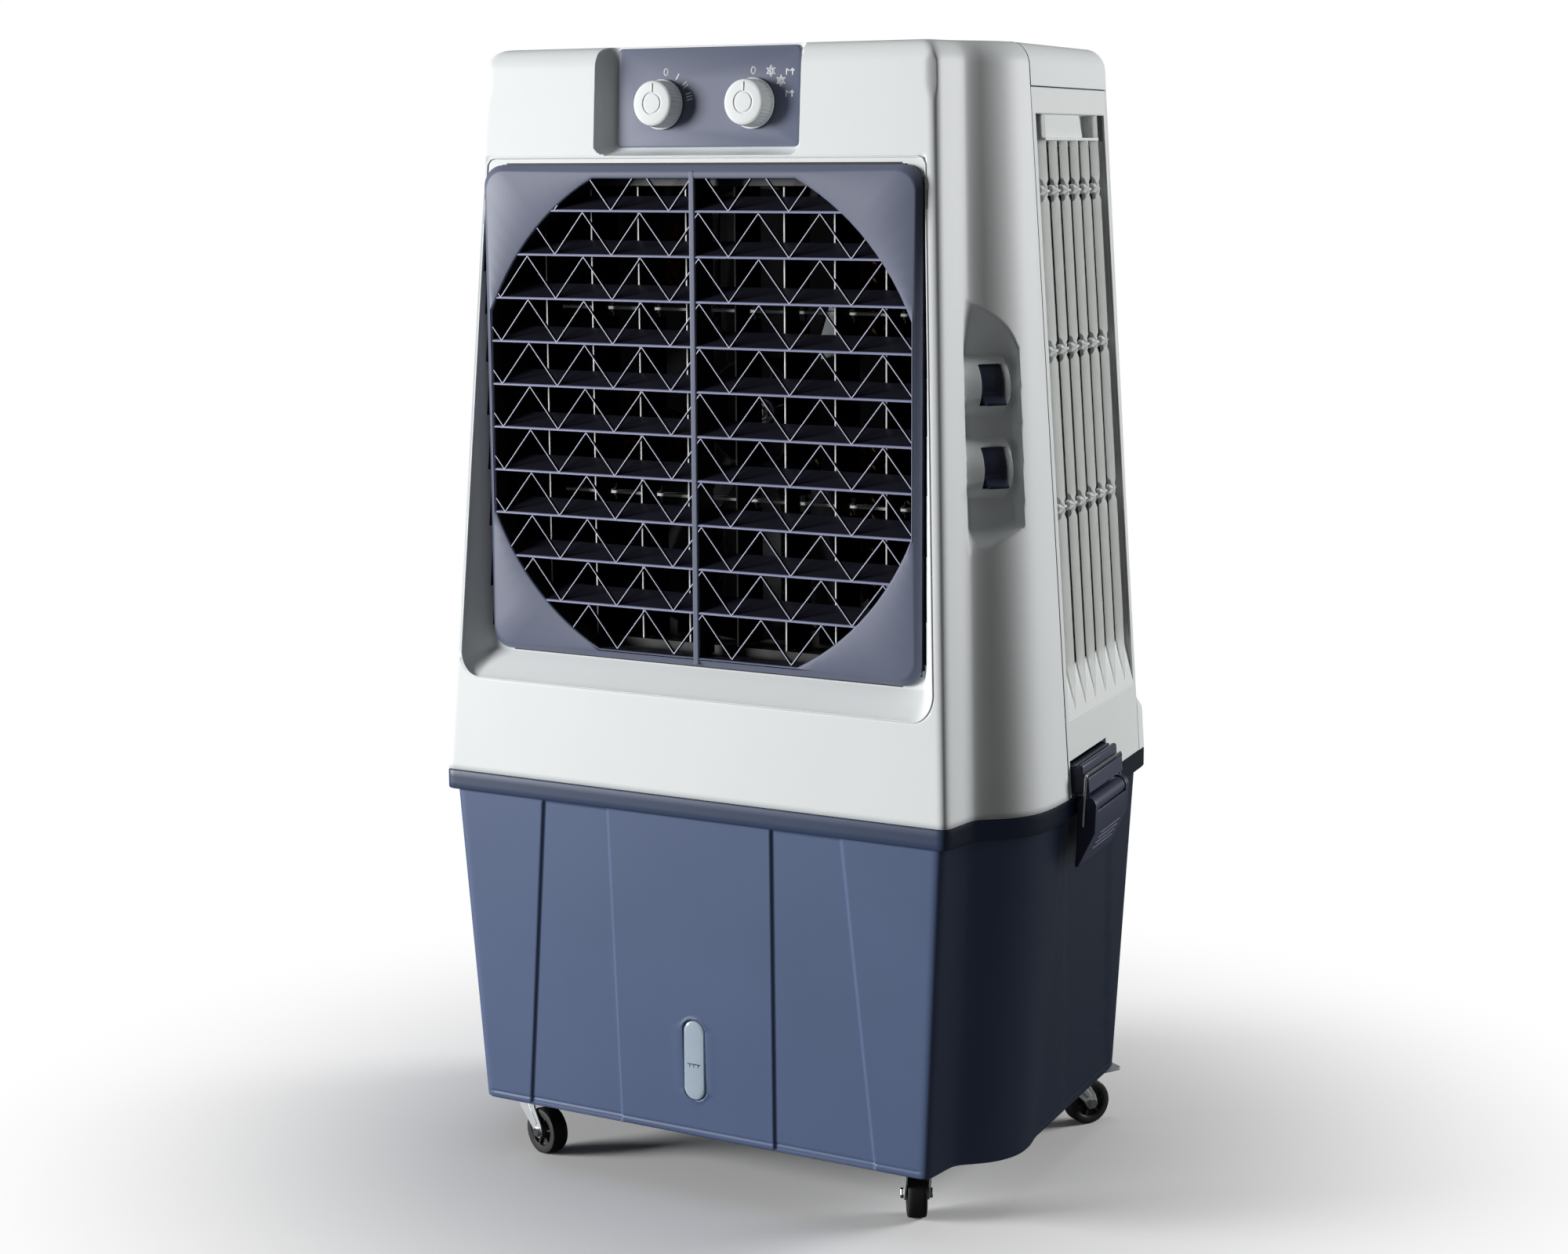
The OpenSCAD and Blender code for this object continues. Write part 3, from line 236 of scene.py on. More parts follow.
class Shape:
    """Collects the points and faces of one piece."""

    def __init__(self):
        self.verts = []
        self.faces = []

    def add(self, verts, faces):
        start = len(self.verts)
        self.verts.extend([tuple(map(float, v)) for v in verts])
        self.faces.extend([tuple(i + start for i in f) for f in faces])
        return self

    def grid(self, points, closed=False):
        rows, cols = points.shape[:2]
        return self.add(points.reshape(-1, 3), grid_faces(rows, cols, closed))

    def loft(self, points):
        """A closed grid with its first and last rows filled in."""
        rows, cols = points.shape[:2]
        start = len(self.verts)
        self.grid(points, closed=True)
        self.faces.append(tuple(start + k for k in reversed(range(cols))))
        self.faces.append(tuple(start + (rows - 1) * cols + k for k in range(cols)))
        return self

    def box(self, low, high):
        (x0, y0, z0), (x1, y1, z1) = low, high
        verts = [(x, y, z) for z in (z0, z1) for y in (y0, y1) for x in (x0, x1)]
        faces = [(0, 2, 3, 1), (4, 5, 7, 6), (0, 1, 5, 4), (2, 6, 7, 3), (0, 4, 6, 2), (1, 3, 7, 5)]
        return self.add(verts, faces)

    def prism(self, outline, y0, y1):
        """outline is counter-clockwise in (x, z) seen from the front (-y)."""
        n = len(outline)
        verts = [(x, y0, z) for x, z in outline] + [(x, y1, z) for x, z in outline]
        faces = [tuple(range(n)), tuple(range(2 * n - 1, n - 1, -1))]
        faces += [(i, i + n, (i + 1) % n + n, (i + 1) % n) for i in range(n)]
        return self.add(verts, faces)

    def lathe(self, profile, centre=(0, 0, 0), axis="y", steps=64, ripple=None):
        """profile is (radius, position along axis); ripple(angle, row) changes the radius."""
        rows = []
        for k, (radius, along) in enumerate(profile):
            ring = []
            for i in range(steps):
                a = 2 * math.pi * i / steps
                r = radius + (ripple(a, k) if ripple else 0.0)
                c, s = r * math.cos(a), r * math.sin(a)
                ring.append({"y": (c, along, s), "z": (s, c, along), "x": (along, s, c)}[axis])
            rows.append(ring)
        points = np.array(rows) + np.array(centre, float)
        return self.grid(points, closed=True)

    def tube(self, path, radius, sides=12):
        """A round bar along a path of points."""
        path = [Vector(p) for p in path]
        rows = []
        side = None
        for i, p in enumerate(path):
            ahead = (path[min(i + 1, len(path) - 1)] - path[max(i - 1, 0)]).normalized()
            if side is None:
                side = ahead.orthogonal().normalized()
            side = (side - ahead * side.dot(ahead)).normalized()
            other = ahead.cross(side)
            r = radius[i] if hasattr(radius, "__len__") else radius
            rows.append([p + side * (r * math.cos(t)) + other * (r * math.sin(t))
                         for t in (2 * math.pi * k / sides for k in range(sides))])
        return self.loft(np.array([[list(v) for v in row] for row in rows]))

    def build(self, name, look, **settings):
        return piece(name, self.verts, self.faces, look, **settings)


def modifier(ob, kind, **settings):
    mod = ob.modifiers.new(kind.lower(), kind)
    for key, value in settings.items():
        setattr(mod, key, value)
    return mod


def paint(ob, look, test):
    """Gives a second material to the faces whose centre (in millimetres) and normal pass the test."""
    ob.data.materials.append(MAT[look])
    index = len(ob.data.materials) - 1
    for face in ob.data.polygons:
        if test(face.center / MM, face.normal):
            face.material_index = index
    return ob


def rounded(ob, width, segments=2, angle=30):
    """Rounds a piece's edges."""
    modifier(ob, "BEVEL", width=width * MM, segments=segments, limit_method="ANGLE",
             angle_limit=math.radians(angle), harden_normals=False)
    return ob


def smooth_step(t):
    t = np.clip(t, 0, 1)
    return t * t * (3 - 2 * t)


def soft_max(a, b, k):
    """The larger of two values, blended over a width of k where they cross."""
    h = np.clip(0.5 + 0.5 * (b - a) / k, 0, 1)
    return a + (b - a) * h + k * h * (1 - h)


def corner_cut(points, rounds=3):
    """Chaikin's curve through a control polygon, keeping its ends."""
    p = np.asarray(points, float)
    for _ in range(rounds):
        a, b = p[:-1], p[1:]
        q = np.empty((2 * len(a), p.shape[1]))
        q[0::2] = 0.75 * a + 0.25 * b
        q[1::2] = 0.25 * a + 0.75 * b
        p = np.vstack([p[:1], q, p[-1:]])
    return p


def even(points, n):
    """n points at equal steps along a polyline."""
    p = np.asarray(points, float)
    steps = np.r_[0, np.cumsum(np.linalg.norm(np.diff(p, axis=0), axis=1))]
    t = np.linspace(0, steps[-1], n)
    return np.column_stack([np.interp(t, steps, p[:, k]) for k in range(p.shape[1])])


# ------------------------------------------------------------------ the housing's form

# The row frame: x to the right, y to the rear, z up, in millimetres. The front faces -y.
SEAM_Z, TOP_Z, SEAM_Y = 426.0, 1172.0, -82.0
REAR_Y, SKIRT_Y = 185.0, 207.0
TANK_Z, WALL_Z = 64.0, 405.0
FRONT_DRAFT, SIDE_DRAFT, SIDE_TAPER = 0.060, 0.0684, 0.1533
SIDE_YAW = math.atan(SIDE_TAPER)
SEAM_LEAN = SIDE_DRAFT * math.cos(SIDE_YAW) * math.sin(SIDE_YAW)


def front_y(z):
    """The front face leans back as it rises."""
    return -267 + FRONT_DRAFT * (z - SEAM_Z)


def front_w(z):
    """Half width of the front face."""
    return 300 - 0.050 * (z - SEAM_Z)


def bulge_w(z):
    """Half width of the housing behind its flutes."""
    return 346 - 0.0715 * (z - SEAM_Z)


def side_x(z, y):
    """The side faces lean in as they rise and towards the rear."""
    return 342 - SIDE_DRAFT * (z - SEAM_Z) - SIDE_TAPER * (y - SEAM_Y)


def seam_y(z):
    """The upright seam leans forward as it rises, like the side panel's edge beside it."""
    return SEAM_Y - SEAM_LEAN * (z - SEAM_Z)


def flank(wf, wb, ws, yf, g, n, ys=SEAM_Y):
    """Right flank in plan, from the front corner back to the seam between the housing's halves."""
    d = wb - wf
    control = [(wf - 17 - g, yf + g), (wf - 6 - g, yf + g), (wf - 1.2 - g, yf + 5 + g),
               (wf - g, yf + 18 + 0.8 * g), (wf + 1 - g, yf + 44), (wf + 4 - g, yf + 56 + 0.33 * g),
               (wf + 0.62 * d - 0.8 * g, yf + 76 + 0.6 * g), (wf + 0.92 * d - 0.9 * g, yf + 100 + 0.5 * g),
               (wb + 0.5 - g, yf + 130), (ws + 0.5 - g, ys)]
    return even(corner_cut(control), n)


def rear_flank(ws, wr, yr, g, n, ys=SEAM_Y):
    """Right flank from the seam back round the rear corner."""
    control = [(ws - g, ys), (wr + 22 * SIDE_TAPER - g, yr - 22), (wr - 0.5 - g, yr - 2 - g * 0.6),
               (wr - 16 - 0.6 * g, yr - g)]
    straight = np.linspace(control[0], control[1], n // 2)
    return np.vstack([straight[:-1], even(corner_cut(control[1:], 3), n - n // 2 + 1)])


def crown(z):
    """How far the outline moves in at height z over the rounded top edge."""
    t = np.clip((z - (TOP_Z - 22)) / 22, 0, 1)
    return 18 * (1 - math.sqrt(max(0.0, 1 - t * t)))


CROWN_ROWS = [TOP_Z - 22 + 22 * math.sin(math.radians(a)) for a in range(0, 91, 6)]


def on_side(p):
    """Local frame of the right side face: x out, y to the rear, z up the face."""
    tilt = math.atan(SIDE_DRAFT * math.cos(SIDE_YAW))
    turn = Matrix.Rotation(SIDE_YAW, 3, "Z") @ Matrix.Rotation(-tilt, 3, "Y")
    return np.asarray(p, float) @ np.array(turn).T + np.array([342, SEAM_Y, SEAM_Z])


def on_left_side(p):
    q = on_side(p)
    q[:, 0] *= -1
    return q


LEVER_MID = np.array([299.0, -168.0, 802.0])
LEVER_TURN = np.array(Matrix.Rotation(math.radians(-36.9), 3, "Z")
                      @ Matrix.Rotation(math.radians(-5), 3, "Y"))


def on_lever(p):
    return np.asarray(p, float) @ LEVER_TURN.T + LEVER_MID


# Heights, depth and radius of the two round pods that the thumb levers sit in, in the levers' frame.
POD_Z, POD_X, POD_R = (44, -36), -30, 31


def press_grille_recess(p):
    """Presses the tapered recess round the grille and the pocket of the control panel into the front."""
    x, y, z = np.abs(p[..., 0]), p[..., 1], p[..., 2]
    yf = front_y(z)
    edge_w = front_w(z) - 14
    a = np.clip((edge_w - x) / np.maximum(edge_w - 257, 1.5), -9, 1)
    b = np.clip((z - 527) / 27, -9, 1)
    c = np.clip((1065 - z) / 7, -9, 1)
    f = 1 - np.sqrt((1 - a) ** 2 + (1 - b) ** 2 + (1 - c) ** 2)
    depth = np.maximum(-230 - yf, 0)
    floor = yf + 1.3 * np.clip(f / 0.04, -9, 1) + f * np.maximum(depth - 1.3, -3)
    y = soft_max(y, floor, 0.7)
    # The pocket's right side is steeper than its left side.
    right = p[..., 0] > 0
    sx = (np.where(right, 115, 123) - x) / np.where(right, 9, 17)
    sz = (z - 1066) / 11
    s = 1 - np.sqrt(np.clip(1 - sx, 0, None) ** 2 + np.clip(1 - sz, 0, None) ** 2)
    s = np.where((sx < 0) | (sz < 0), -1, s)
    pocket = yf + 20.5 * np.sqrt(1 - (1 - np.clip(s, 0, 1)) ** 2)
    y = np.where(s > 0, np.maximum(y, pocket), y)
    out = p.copy()
    out[..., 1] = y
    return out


def press_lever_recess(p):
    """Presses the thumb levers' recess and its two pods into the right flute."""
    q = (p - LEVER_MID) @ LEVER_TURN
    lx, ly, lz = q[..., 0], q[..., 1], q[..., 2]
    base = lx.copy()
    along = np.clip((ly + 30) / 57, 0, 1)
    top = 126 - 30 * along - 16 * along ** 6
    low = -95 - 28 * (1 - along)
    t = np.clip((ly + 35) / 12, 0, 1) * smooth_step((29.5 - ly) / 2.6)
    t = t * np.clip((top - lz) / np.maximum(0.8 * (top - 62), 4), 0, 1)
    t = t * smooth_step((lz - low) / np.maximum(-91 - low, 4))
    lx = lx + (np.minimum(lx, -18) - lx) * t
    for zc in POD_Z:
        dz = lz - zc
        dome = POD_X + np.sqrt(np.clip(POD_R ** 2 - dz ** 2, 0, None))
        keep = smooth_step((19.5 - ly) / 1.8) * (np.abs(dz) < POD_R)
        raised = np.minimum(dome, base)
        lx = np.where((keep > 0) & (raised > lx), lx + (raised - lx) * keep, lx)
        hole = smooth_step((12.9 - np.abs(ly)) / 1.0) * smooth_step((20.0 - np.abs(dz)) / 1.0)
        lx = lx + (np.minimum(lx, -42) - lx) * hole
    q = np.stack([lx, ly, lz], axis=-1)
    moved = q @ LEVER_TURN.T + LEVER_MID
    inside = (p[..., 0] > 180) & (np.abs(p[..., 2] - LEVER_MID[2]) < 140)
    return np.where(inside[..., None], moved, p)


def steps(*spans):
    """Heights or widths from (start, stop, step) spans."""
    values = []
    for start, stop, step in spans:
        values.extend(np.arange(start, stop - 0.2 * step, step))
    values.append(spans[-1][1])
    return values


# How far the shell's last columns turn in at the seam.
SEAM_TUCK = np.array([0.0, 0.3, 2.0])


def behind_bezel(c):
    """True inside the rounded outline of the grille's frame and the narrow gap round it."""
    r = 36
    return math.hypot(max(abs(c.x) - 258 + r, 0), max(abs(c.z - 806) - 252.5 + r, 0)) < r


def beside_seam(c, n):
    return abs(c.x) > 230 and abs(c.y - seam_y(c.z)) < 2.1


def front_shell_level(z, columns, left_n, right_n):
    """Outline of the front shell at height z, from the left seam over the face to the right seam."""
    g, ys = crown(z), seam_y(z)
    wf, yf = front_w(z), front_y(z)
    flanks = [flank(wf, bulge_w(z), side_x(z, ys), yf, g, n, ys) for n in (left_n, right_n)]
    for curve in flanks:
        curve[-3:, 0] -= SEAM_TUCK
        curve[-2:, 1] = ys - 2.3, ys - 1.3
    left, right = flanks
    # The columns of the middle keep their place; those beyond it follow the taper of the face.
    inner, outer = 150, 255
    stretch = (right[0][0] - inner) / (outer - inner)
    moved = np.sign(columns) * (inner + (np.abs(columns) - inner) * stretch)
    x = np.where(np.abs(columns) > inner, moved, columns)
    face = np.column_stack([x, np.full(len(x), yf + g)])
    ring = np.vstack([left[::-1] * [-1, 1], face[1:-1], right])
    return np.column_stack([ring, np.full(len(ring), z)])


def front_shell():
    columns = steps((0, 98, 5), (98, 128, 1.4), (128, 236, 5), (236, 255, 2.4))
    columns = np.array([-c for c in reversed(columns[1:])] + columns)
    rows = steps((426.4, 520, 6), (520, 560, 1.8), (560, 676, 6), (676, 930, 1.9), (930, 1044, 6),
                 (1044, 1084, 1.4), (1084, TOP_Z - 22, 4))[:-1] + CROWN_ROWS
    levels = np.array([front_shell_level(z, columns, 72, 132) for z in rows])
    p = press_lever_recess(press_grille_recess(levels))
    rows_n, cols_n = p.shape[:2]
    hidden = ((np.abs(p[..., 0]) < 250) & (p[..., 2] > 562) & (p[..., 2] < 1046) & (p[..., 1] < -200)).ravel()
    faces = [f for f in grid_faces(rows_n, cols_n) if not all(hidden[i] for i in f)]
    faces.append(tuple((rows_n - 1) * cols_n + c for c in range(cols_n)))
    ob = piece("front_shell_skin", p.reshape(-1, 3), faces, "white", replaces=["front_shell"], sharp=50)
    # The narrow gap round the grille's frame is in deep shade, and so is the seam.
    paint(ob, "grille", lambda c, n: c.y > -233 and n.y < -0.5 and behind_bezel(c))
    paint(ob, "black", beside_seam)
    modifier(ob, "SOLIDIFY", thickness=3 * MM, offset=-1, use_rim=True)


def recess_bead():
    """The thin raised bead round the recess of the grille."""
    right = [(front_w(z) - 14, z) for z in np.linspace(1056, 554, 40)]
    corner = right[-1][0] - 22
    turns = np.linspace(0, math.pi / 2, 16)[1:]
    right += [(corner + 22 * math.cos(a), 554 - 27 * math.sin(a)) for a in turns]
    right = [(246, 1063), (251, 1061.5)] + right
    outline = right + [(-x, z) for x, z in reversed(right)]
    path = [(x, front_y(z) + 0.2, z) for x, z in outline + outline[:1]]
    Shape().tube(path, 1.1, 10).build("grille_recess_bead", "white")


def cutter(name, shape, place=None):
    """A hidden closed mesh for a boolean cut."""
    points = np.asarray(shape.verts, float)
    if place is not None:
        points = place(points)
    mesh = bpy.data.meshes.new(name)
    mesh.from_pydata((points * MM).tolist(), [], shape.faces)
    bm = bmesh.new()
    bm.from_mesh(mesh)
    bmesh.ops.recalc_face_normals(bm, faces=bm.faces)
    bm.to_mesh(mesh)
    bm.free()
    ob = bpy.data.objects.new(name, mesh)
    bpy.context.scene.collection.objects.link(ob)
    return ob


def cut(ob, *tools):
    """Cuts the tools out of a piece and drops them."""
    for tool in tools:
        modifier(ob, "BOOLEAN", operation="DIFFERENCE", object=tool, solver="EXACT")
    bpy.context.view_layer.update()
    graph = bpy.context.evaluated_depsgraph_get()
    mesh = bpy.data.meshes.new_from_object(ob.evaluated_get(graph))
    ob.modifiers.clear()
    ob.data = mesh
    for tool in tools:
        bpy.data.objects.remove(tool)
    mesh.set_sharp_from_angle(angle=math.radians(40))
    return ob


# Height and half width of the rear opening at its foot and at its top.
REAR_OPEN = ((503, 236), (1036, 222))


def rear_trapezoid(g):
    """Outline of the rear opening, grown by g."""
    (z0, w0), (z1, w1) = REAR_OPEN
    return [(-w0 - g, z0 - g), (w0 + g, z0 - g), (w1 + g, z1 + g), (-w1 - g, z1 + g)]


def rear_shell():
    rows = steps((426.4, 466, 8), (466, 492, 2), (492, TOP_Z - 22, 24))[:-1] + CROWN_ROWS
    n = 60
    levels = []
    for z in rows:
        g = crown(z)
        yr = REAR_Y + (SKIRT_Y - REAR_Y) * (1 - float(smooth_step((z - 468) / 20)))
        ys = seam_y(z)
        right = rear_flank(side_x(z, ys), side_x(z, yr), yr, g, n, ys)
        right[0, 0] -= SEAM_TUCK[-1]
        right[1] += (right[2] - right[1]) * (ys + 1.8 - right[1, 1]) / (right[2, 1] - right[1, 1])
        right[0, 1] = ys + 0.7
        across = np.linspace(right[-1, 0], -right[-1, 0], 30)
        back = np.column_stack([across, np.full(30, right[-1, 1])])
        ring = np.vstack([right, back[1:-1], right[::-1] * [-1, 1]])
        levels.append(np.column_stack([ring, np.full(len(ring), z)]))
    p = np.array(levels)
    rows_n, cols_n = p.shape[:2]
    faces = grid_faces(rows_n, cols_n) + [tuple((rows_n - 1) * cols_n + c for c in range(cols_n))]
    ob = piece("rear_shell_skin", p.reshape(-1, 3), faces, "white", replaces=["rear_shell"], sharp=50)
    # Painted shade: the faces beside the seam are made black for the shadow in the gap.
    paint(ob, "black", beside_seam)
    modifier(ob, "SOLIDIFY", thickness=3 * MM, offset=-1, use_rim=True)
    side = Shape().box((-4.5, -6, -8), (60, 262.8, 705.9))
    rear = Shape().prism(rear_trapezoid(0), 150, 230)
    cut(ob, cutter("cut_right", side, on_side), cutter("cut_left", side, on_left_side),
        cutter("cut_rear", rear))
    rail = Shape().box((-12, -2, 0.6), (-4.5, 262, 18))
    rounded(rail.build("side_rail_right", "white", place=on_side), 0.8)
    rounded(rail.build("side_rail_left", "white", place=on_left_side), 0.8)
    return ob


def tank_mix(z, low, high):
    """Value between the tank's foot and the top of its wall."""
    return low + (high - low) * (z - TANK_Z) / (WALL_Z - TANK_Z)


# Columns of points across each pleat's slope, from its middle.
PLEAT_COLUMNS = np.array([-1.9, -0.9, 0, 0.9, 1.9])
# The level of the wall that the floor's outline follows.
FLOOR_LEVEL = 12


def tank_levels():
    """Outlines of the tank's wall and of the flange round its mouth, from the bottom up."""
    rows = [("wall", z, g) for z, g in ((64, 4), (64.3, 1.6), (65.6, 0.4), (67, 0))]
    rows += [("wall", z, 0) for z in steps((69, 77, 0.8), (77, 100, 4), (100, 196, 1.6), (196, 402, 6))]
    rows += [("wall", 404.4, 0), ("rim", 405, 6.5), ("rim", 405, 1.2), ("rim", 405.5, 0.4), ("rim", 406.4, 0)]
    rows += [("rim", z, 0) for z in (412, 418, 424.4)]
    rows += [("rim", 425.5, 0.5), ("rim", 425.9, 1.4), ("rim", 425.9, 10)]
    levels = []
    for kind, z, g in rows:
        if kind == "wall":
            wf, wb = tank_mix(z, 271, 292), tank_mix(z, 315, 338)
            ws, wr = tank_mix(z, 306, 334), tank_mix(z, 273, 290)
            yf, yr = tank_mix(z, -248, -260), tank_mix(z, 188, 199)
        else:
            wf, wb, ws, wr = 300, 346, 342, side_x(SEAM_Z, SKIRT_Y)
            yf, yr = -267, SKIRT_Y
        right = flank(wf, wb, ws, yf, g, 74)
        rear = rear_flank(ws, wr, yr, g, 64)
        x_in, x_out = pleat_x(z)
        half = np.r_[np.arange(0, 15, 1.25), np.linspace(16, x_in - 2, 12), x_in + PLEAT_COLUMNS,
                     np.linspace(x_in + 3, x_out - 3, 12), x_out + PLEAT_COLUMNS,
                     np.linspace(x_out + 3, right[0][0], 10)]
        face = np.r_[-half[:0:-1], half]
        face = np.column_stack([face, np.full(len(face), yf + g)])
        back = np.column_stack([np.linspace(rear[-1, 0], -rear[-1, 0], 40), np.full(40, rear[-1, 1])])
        side = np.vstack([right, rear[1:]])
        ring = np.vstack([face, side[1:], back[1:-1], side[::-1][:-1] * [-1, 1]])
        levels.append(np.column_stack([ring, np.full(len(ring), z)]))
    return np.array(levels)


def pleat_x(z):
    """Inner and outer edge of the pressed pleats of the tank's front at height z."""
    mix = np.clip(tank_mix(z, 0, 1), 0, 1)
    return 93 + 5 * mix, 210 - 32 * mix


def press_tank(p):
    """Presses the pleats, the window's seat, the foot bead and the side panels into the tank's wall."""
    x, y, z = np.abs(p[..., 0]), p[..., 1], p[..., 2]
    wall = (z < 404) & (z > 66)
    x_in, x_out = pleat_x(z)
    front = wall & (y < -200) & (x < 262)
    pleat = smooth_step((x - x_in + 1.8) / 3.6) * smooth_step((x_out + 1.8 - x) / 3.6)
    from_window = np.hypot(p[..., 0], np.maximum(np.abs(z - 147) - 29.5, 0))
    window = smooth_step((13.6 - from_window) / 1.2)
    lip = np.exp(-((from_window - 15.2) / 1.1) ** 2)
    bead = np.where(z < 90, 0.9 * np.exp(-((z - 72) / 1.1) ** 2), 0)
    p[..., 1] += np.where(front, 2.5 * pleat + 4.5 * window, 0) - np.where(front, 0.9 * lip, 0)
    p[..., 1] += np.where(front, bead, 0)
    fore = -64 + (406 - z) * 0.228
    aft = 97 + (396 - z) * 0.20
    flat = wall & (y > SEAM_Y) & (y < 180) & (x > 240)
    panel = smooth_step((y - fore + 1) / 2) * smooth_step((aft + 1 - y) / 2)
    p[..., 0] -= np.sign(p[..., 0]) * np.where(flat, 2.2 * panel + bead, 0)
    return p


def tank():
    """The water tank: tapered wall, flange, and a floor just above the wall's foot."""
    p = press_tank(tank_levels())
    ob = piece("water_tank_shell", p.reshape(-1, 3), grid_faces(*p.shape[:2], closed=True), "tank",
               replaces=["water_tank"], sharp=50)
    paint(ob, "rim", lambda c, n: c.z > 404.8)
    modifier(ob, "SOLIDIFY", thickness=4 * MM, offset=-1, use_rim=True)
    outline = p[FLOOR_LEVEL][:, :2] * 0.985
    floor = Shape().add([(a, b, 72) for a, b in outline] + [(a, b, 75) for a, b in outline],
                        sheet_faces(len(outline)))
    floor.build("water_tank_floor", "tank")


# ------------------------------------------------------------------ grille, vanes and fan

GRILLE_Y = -240.0
# The opening is a circle cut off at its sides, its top and its foot.
OPEN_W, OPEN_R, OPEN_Z, OPEN_H = 245.0, 266.0, 804.0, 238.5
BLADES, BLADE_Z, BLADE_PITCH, ZIGZAG_PITCH = 10, 1010.0, 44.4, 69.0


def rounded_rect(x0, z0, x1, z1, r, n=10):
    """Counter-clockwise outline in x and z."""
    points = []
    corners = ((x1 - r, z0 + r, -90), (x1 - r, z1 - r, 0), (x0 + r, z1 - r, 90), (x0 + r, z0 + r, 180))
    for cx, cz, a0 in corners:
        for k in range(n + 1):
            a = math.radians(a0 + 90 * k / n)
            points.append((cx + r * math.cos(a), cz + r * math.sin(a)))
    return points


def opening_half_width(z):
    return min(OPEN_W, math.sqrt(max(OPEN_R ** 2 - (z - OPEN_Z) ** 2, 0)))


def opening_outline():
    """Counter-clockwise outline of the grille's opening in x and z."""
    corner_h = math.sqrt(OPEN_R ** 2 - OPEN_W ** 2)
    corner = math.degrees(math.atan2(corner_h, OPEN_W))
    top = math.degrees(math.asin(OPEN_H / OPEN_R))
    points = []
    for base, mirror in ((0, 1), (180, -1)):
        points.append((mirror * OPEN_W, OPEN_Z - mirror * corner_h))
        points.append((mirror * OPEN_W, OPEN_Z + mirror * corner_h))
        for a in np.linspace(corner, top, 14)[1:]:
            t = math.radians(base + a)
            points.append((OPEN_R * math.cos(t), OPEN_Z + OPEN_R * math.sin(t)))
        for a in np.linspace(180 - top, 180 - corner, 14)[:-1]:
            t = math.radians(base + a)
            points.append((OPEN_R * math.cos(t), OPEN_Z + OPEN_R * math.sin(t)))
    return points


def radii(outline, angles, centre_z):
    """Distance from the centre to an outline, at each of the angles."""
    p = np.array(outline)
    a = np.arctan2(p[:, 1] - centre_z, p[:, 0])
    r = np.hypot(p[:, 0], p[:, 1] - centre_z)
    order = np.argsort(a)
    a, r = a[order], r[order]
    p = np.column_stack([r * np.cos(a), r * np.sin(a)])
    nxt = np.roll(p, -1, axis=0)
    result = []
    for t in angles:
        i = np.searchsorted(a, t, side="right") - 1
        u, v = p[i], nxt[i]
        d = np.array([math.cos(t), math.sin(t)])
        cross = d[0] * (v - u)[1] - d[1] * (v - u)[0]
        k = 0 if abs(cross) < 1e-9 else (d[1] * u[0] - d[0] * u[1]) / cross
        result.append(float(np.linalg.norm(u + (v - u) * k)))
    return np.array(result)


def grille_bezel():
    """The grille's frame: a rounded square outside, the cut-off circle of the opening inside."""
    outer, inner = rounded_rect(-255, 556, 255, 1056, 22), opening_outline()
    angles = np.array(sorted({round(math.atan2(z - OPEN_Z, x), 5) for x, z in outer + inner}))
    ro, ri = radii(outer, angles, OPEN_Z), radii(inner, angles, OPEN_Z)
    # Outline, growth and y, from the back of the rim over the face to the back of the opening.
    profile = [(ro, 0, -231), (ro, 0, -233.2), (ro, -0.4, -234.6), (ro, -6.2, -238.9), (ro, -7.5, -239.7),
               (ro, -9, -240), (ri, 2.6, -240), (ri, 1.2, -239.7), (ri, 0.3, -238.9), (ri, 0, -238),
               (ri, -0.8, -215), (ri, 1.2, -215), (ri, 2.4, -231), (ro, 0, -231)]
    rows = []
    for outline, grow, y in profile:
        r = outline + grow
        rows.append(np.column_stack([r * np.cos(angles), np.full(len(r), y), OPEN_Z + r * np.sin(angles)]))
    bezel = Shape().grid(np.array(rows), closed=True)
    ob = bezel.build("front_grille_bezel", "slate", replaces=["front_grille"], sharp=25)

    def in_shade(c, n):
        """The wall of the opening, and the rim's own sides in the gap round it, which are painted dark as
        painted shade.
        """
        faces_in = c.y > -237.9 and n.x * c.x + n.z * (c.z - OPEN_Z) < -40
        return faces_in or (c.y > -234.7 and (abs(c.x) > 254 or c.z < 557 or c.z > 1055))
    paint(ob, "grille", in_shade)


def grille_blades():
    """Ten blades that rise towards the rear, from one side of the opening to the other."""
    blades = Shape()
    tilt = math.atan(15 / 32)
    # Depth and height along the blade, round its section.
    section = [(-0.2, -0.7), (-0.5, 0), (-0.2, 0.75), (0.5, 1.15), (1.6, 1.2), (33.5, 0.75), (34, 0),
               (33.5, -0.75), (1.6, -1.2), (0.5, -1.15)]
    n, columns = len(section), 14
    for i in range(BLADES):
        rows = []
        for d, t in section + section[:1]:
            y = GRILLE_Y + 1.2 + d * math.cos(tilt) - t * math.sin(tilt)
            z = BLADE_Z - i * BLADE_PITCH + d * math.sin(tilt) + t * math.cos(tilt)
            w = opening_half_width(z) + 1.5
            rows.append([(x, y, z) for x in np.linspace(-w, w, columns)])
        start = len(blades.verts)
        blades.grid(np.array(rows))
        blades.faces.append(tuple(start + columns * k for k in reversed(range(n))))
        blades.faces.append(tuple(start + columns * k + columns - 1 for k in range(n)))
    # Painted shade and painted highlight: the blades are made near black, and their front noses paler where
    # light would catch them.
    ob = blades.build("front_grille_blades", "grille", sharp=40)
    paint(ob, "edge", lambda c, n: c.y < GRILLE_Y + 1.9 and n.y < -0.1)


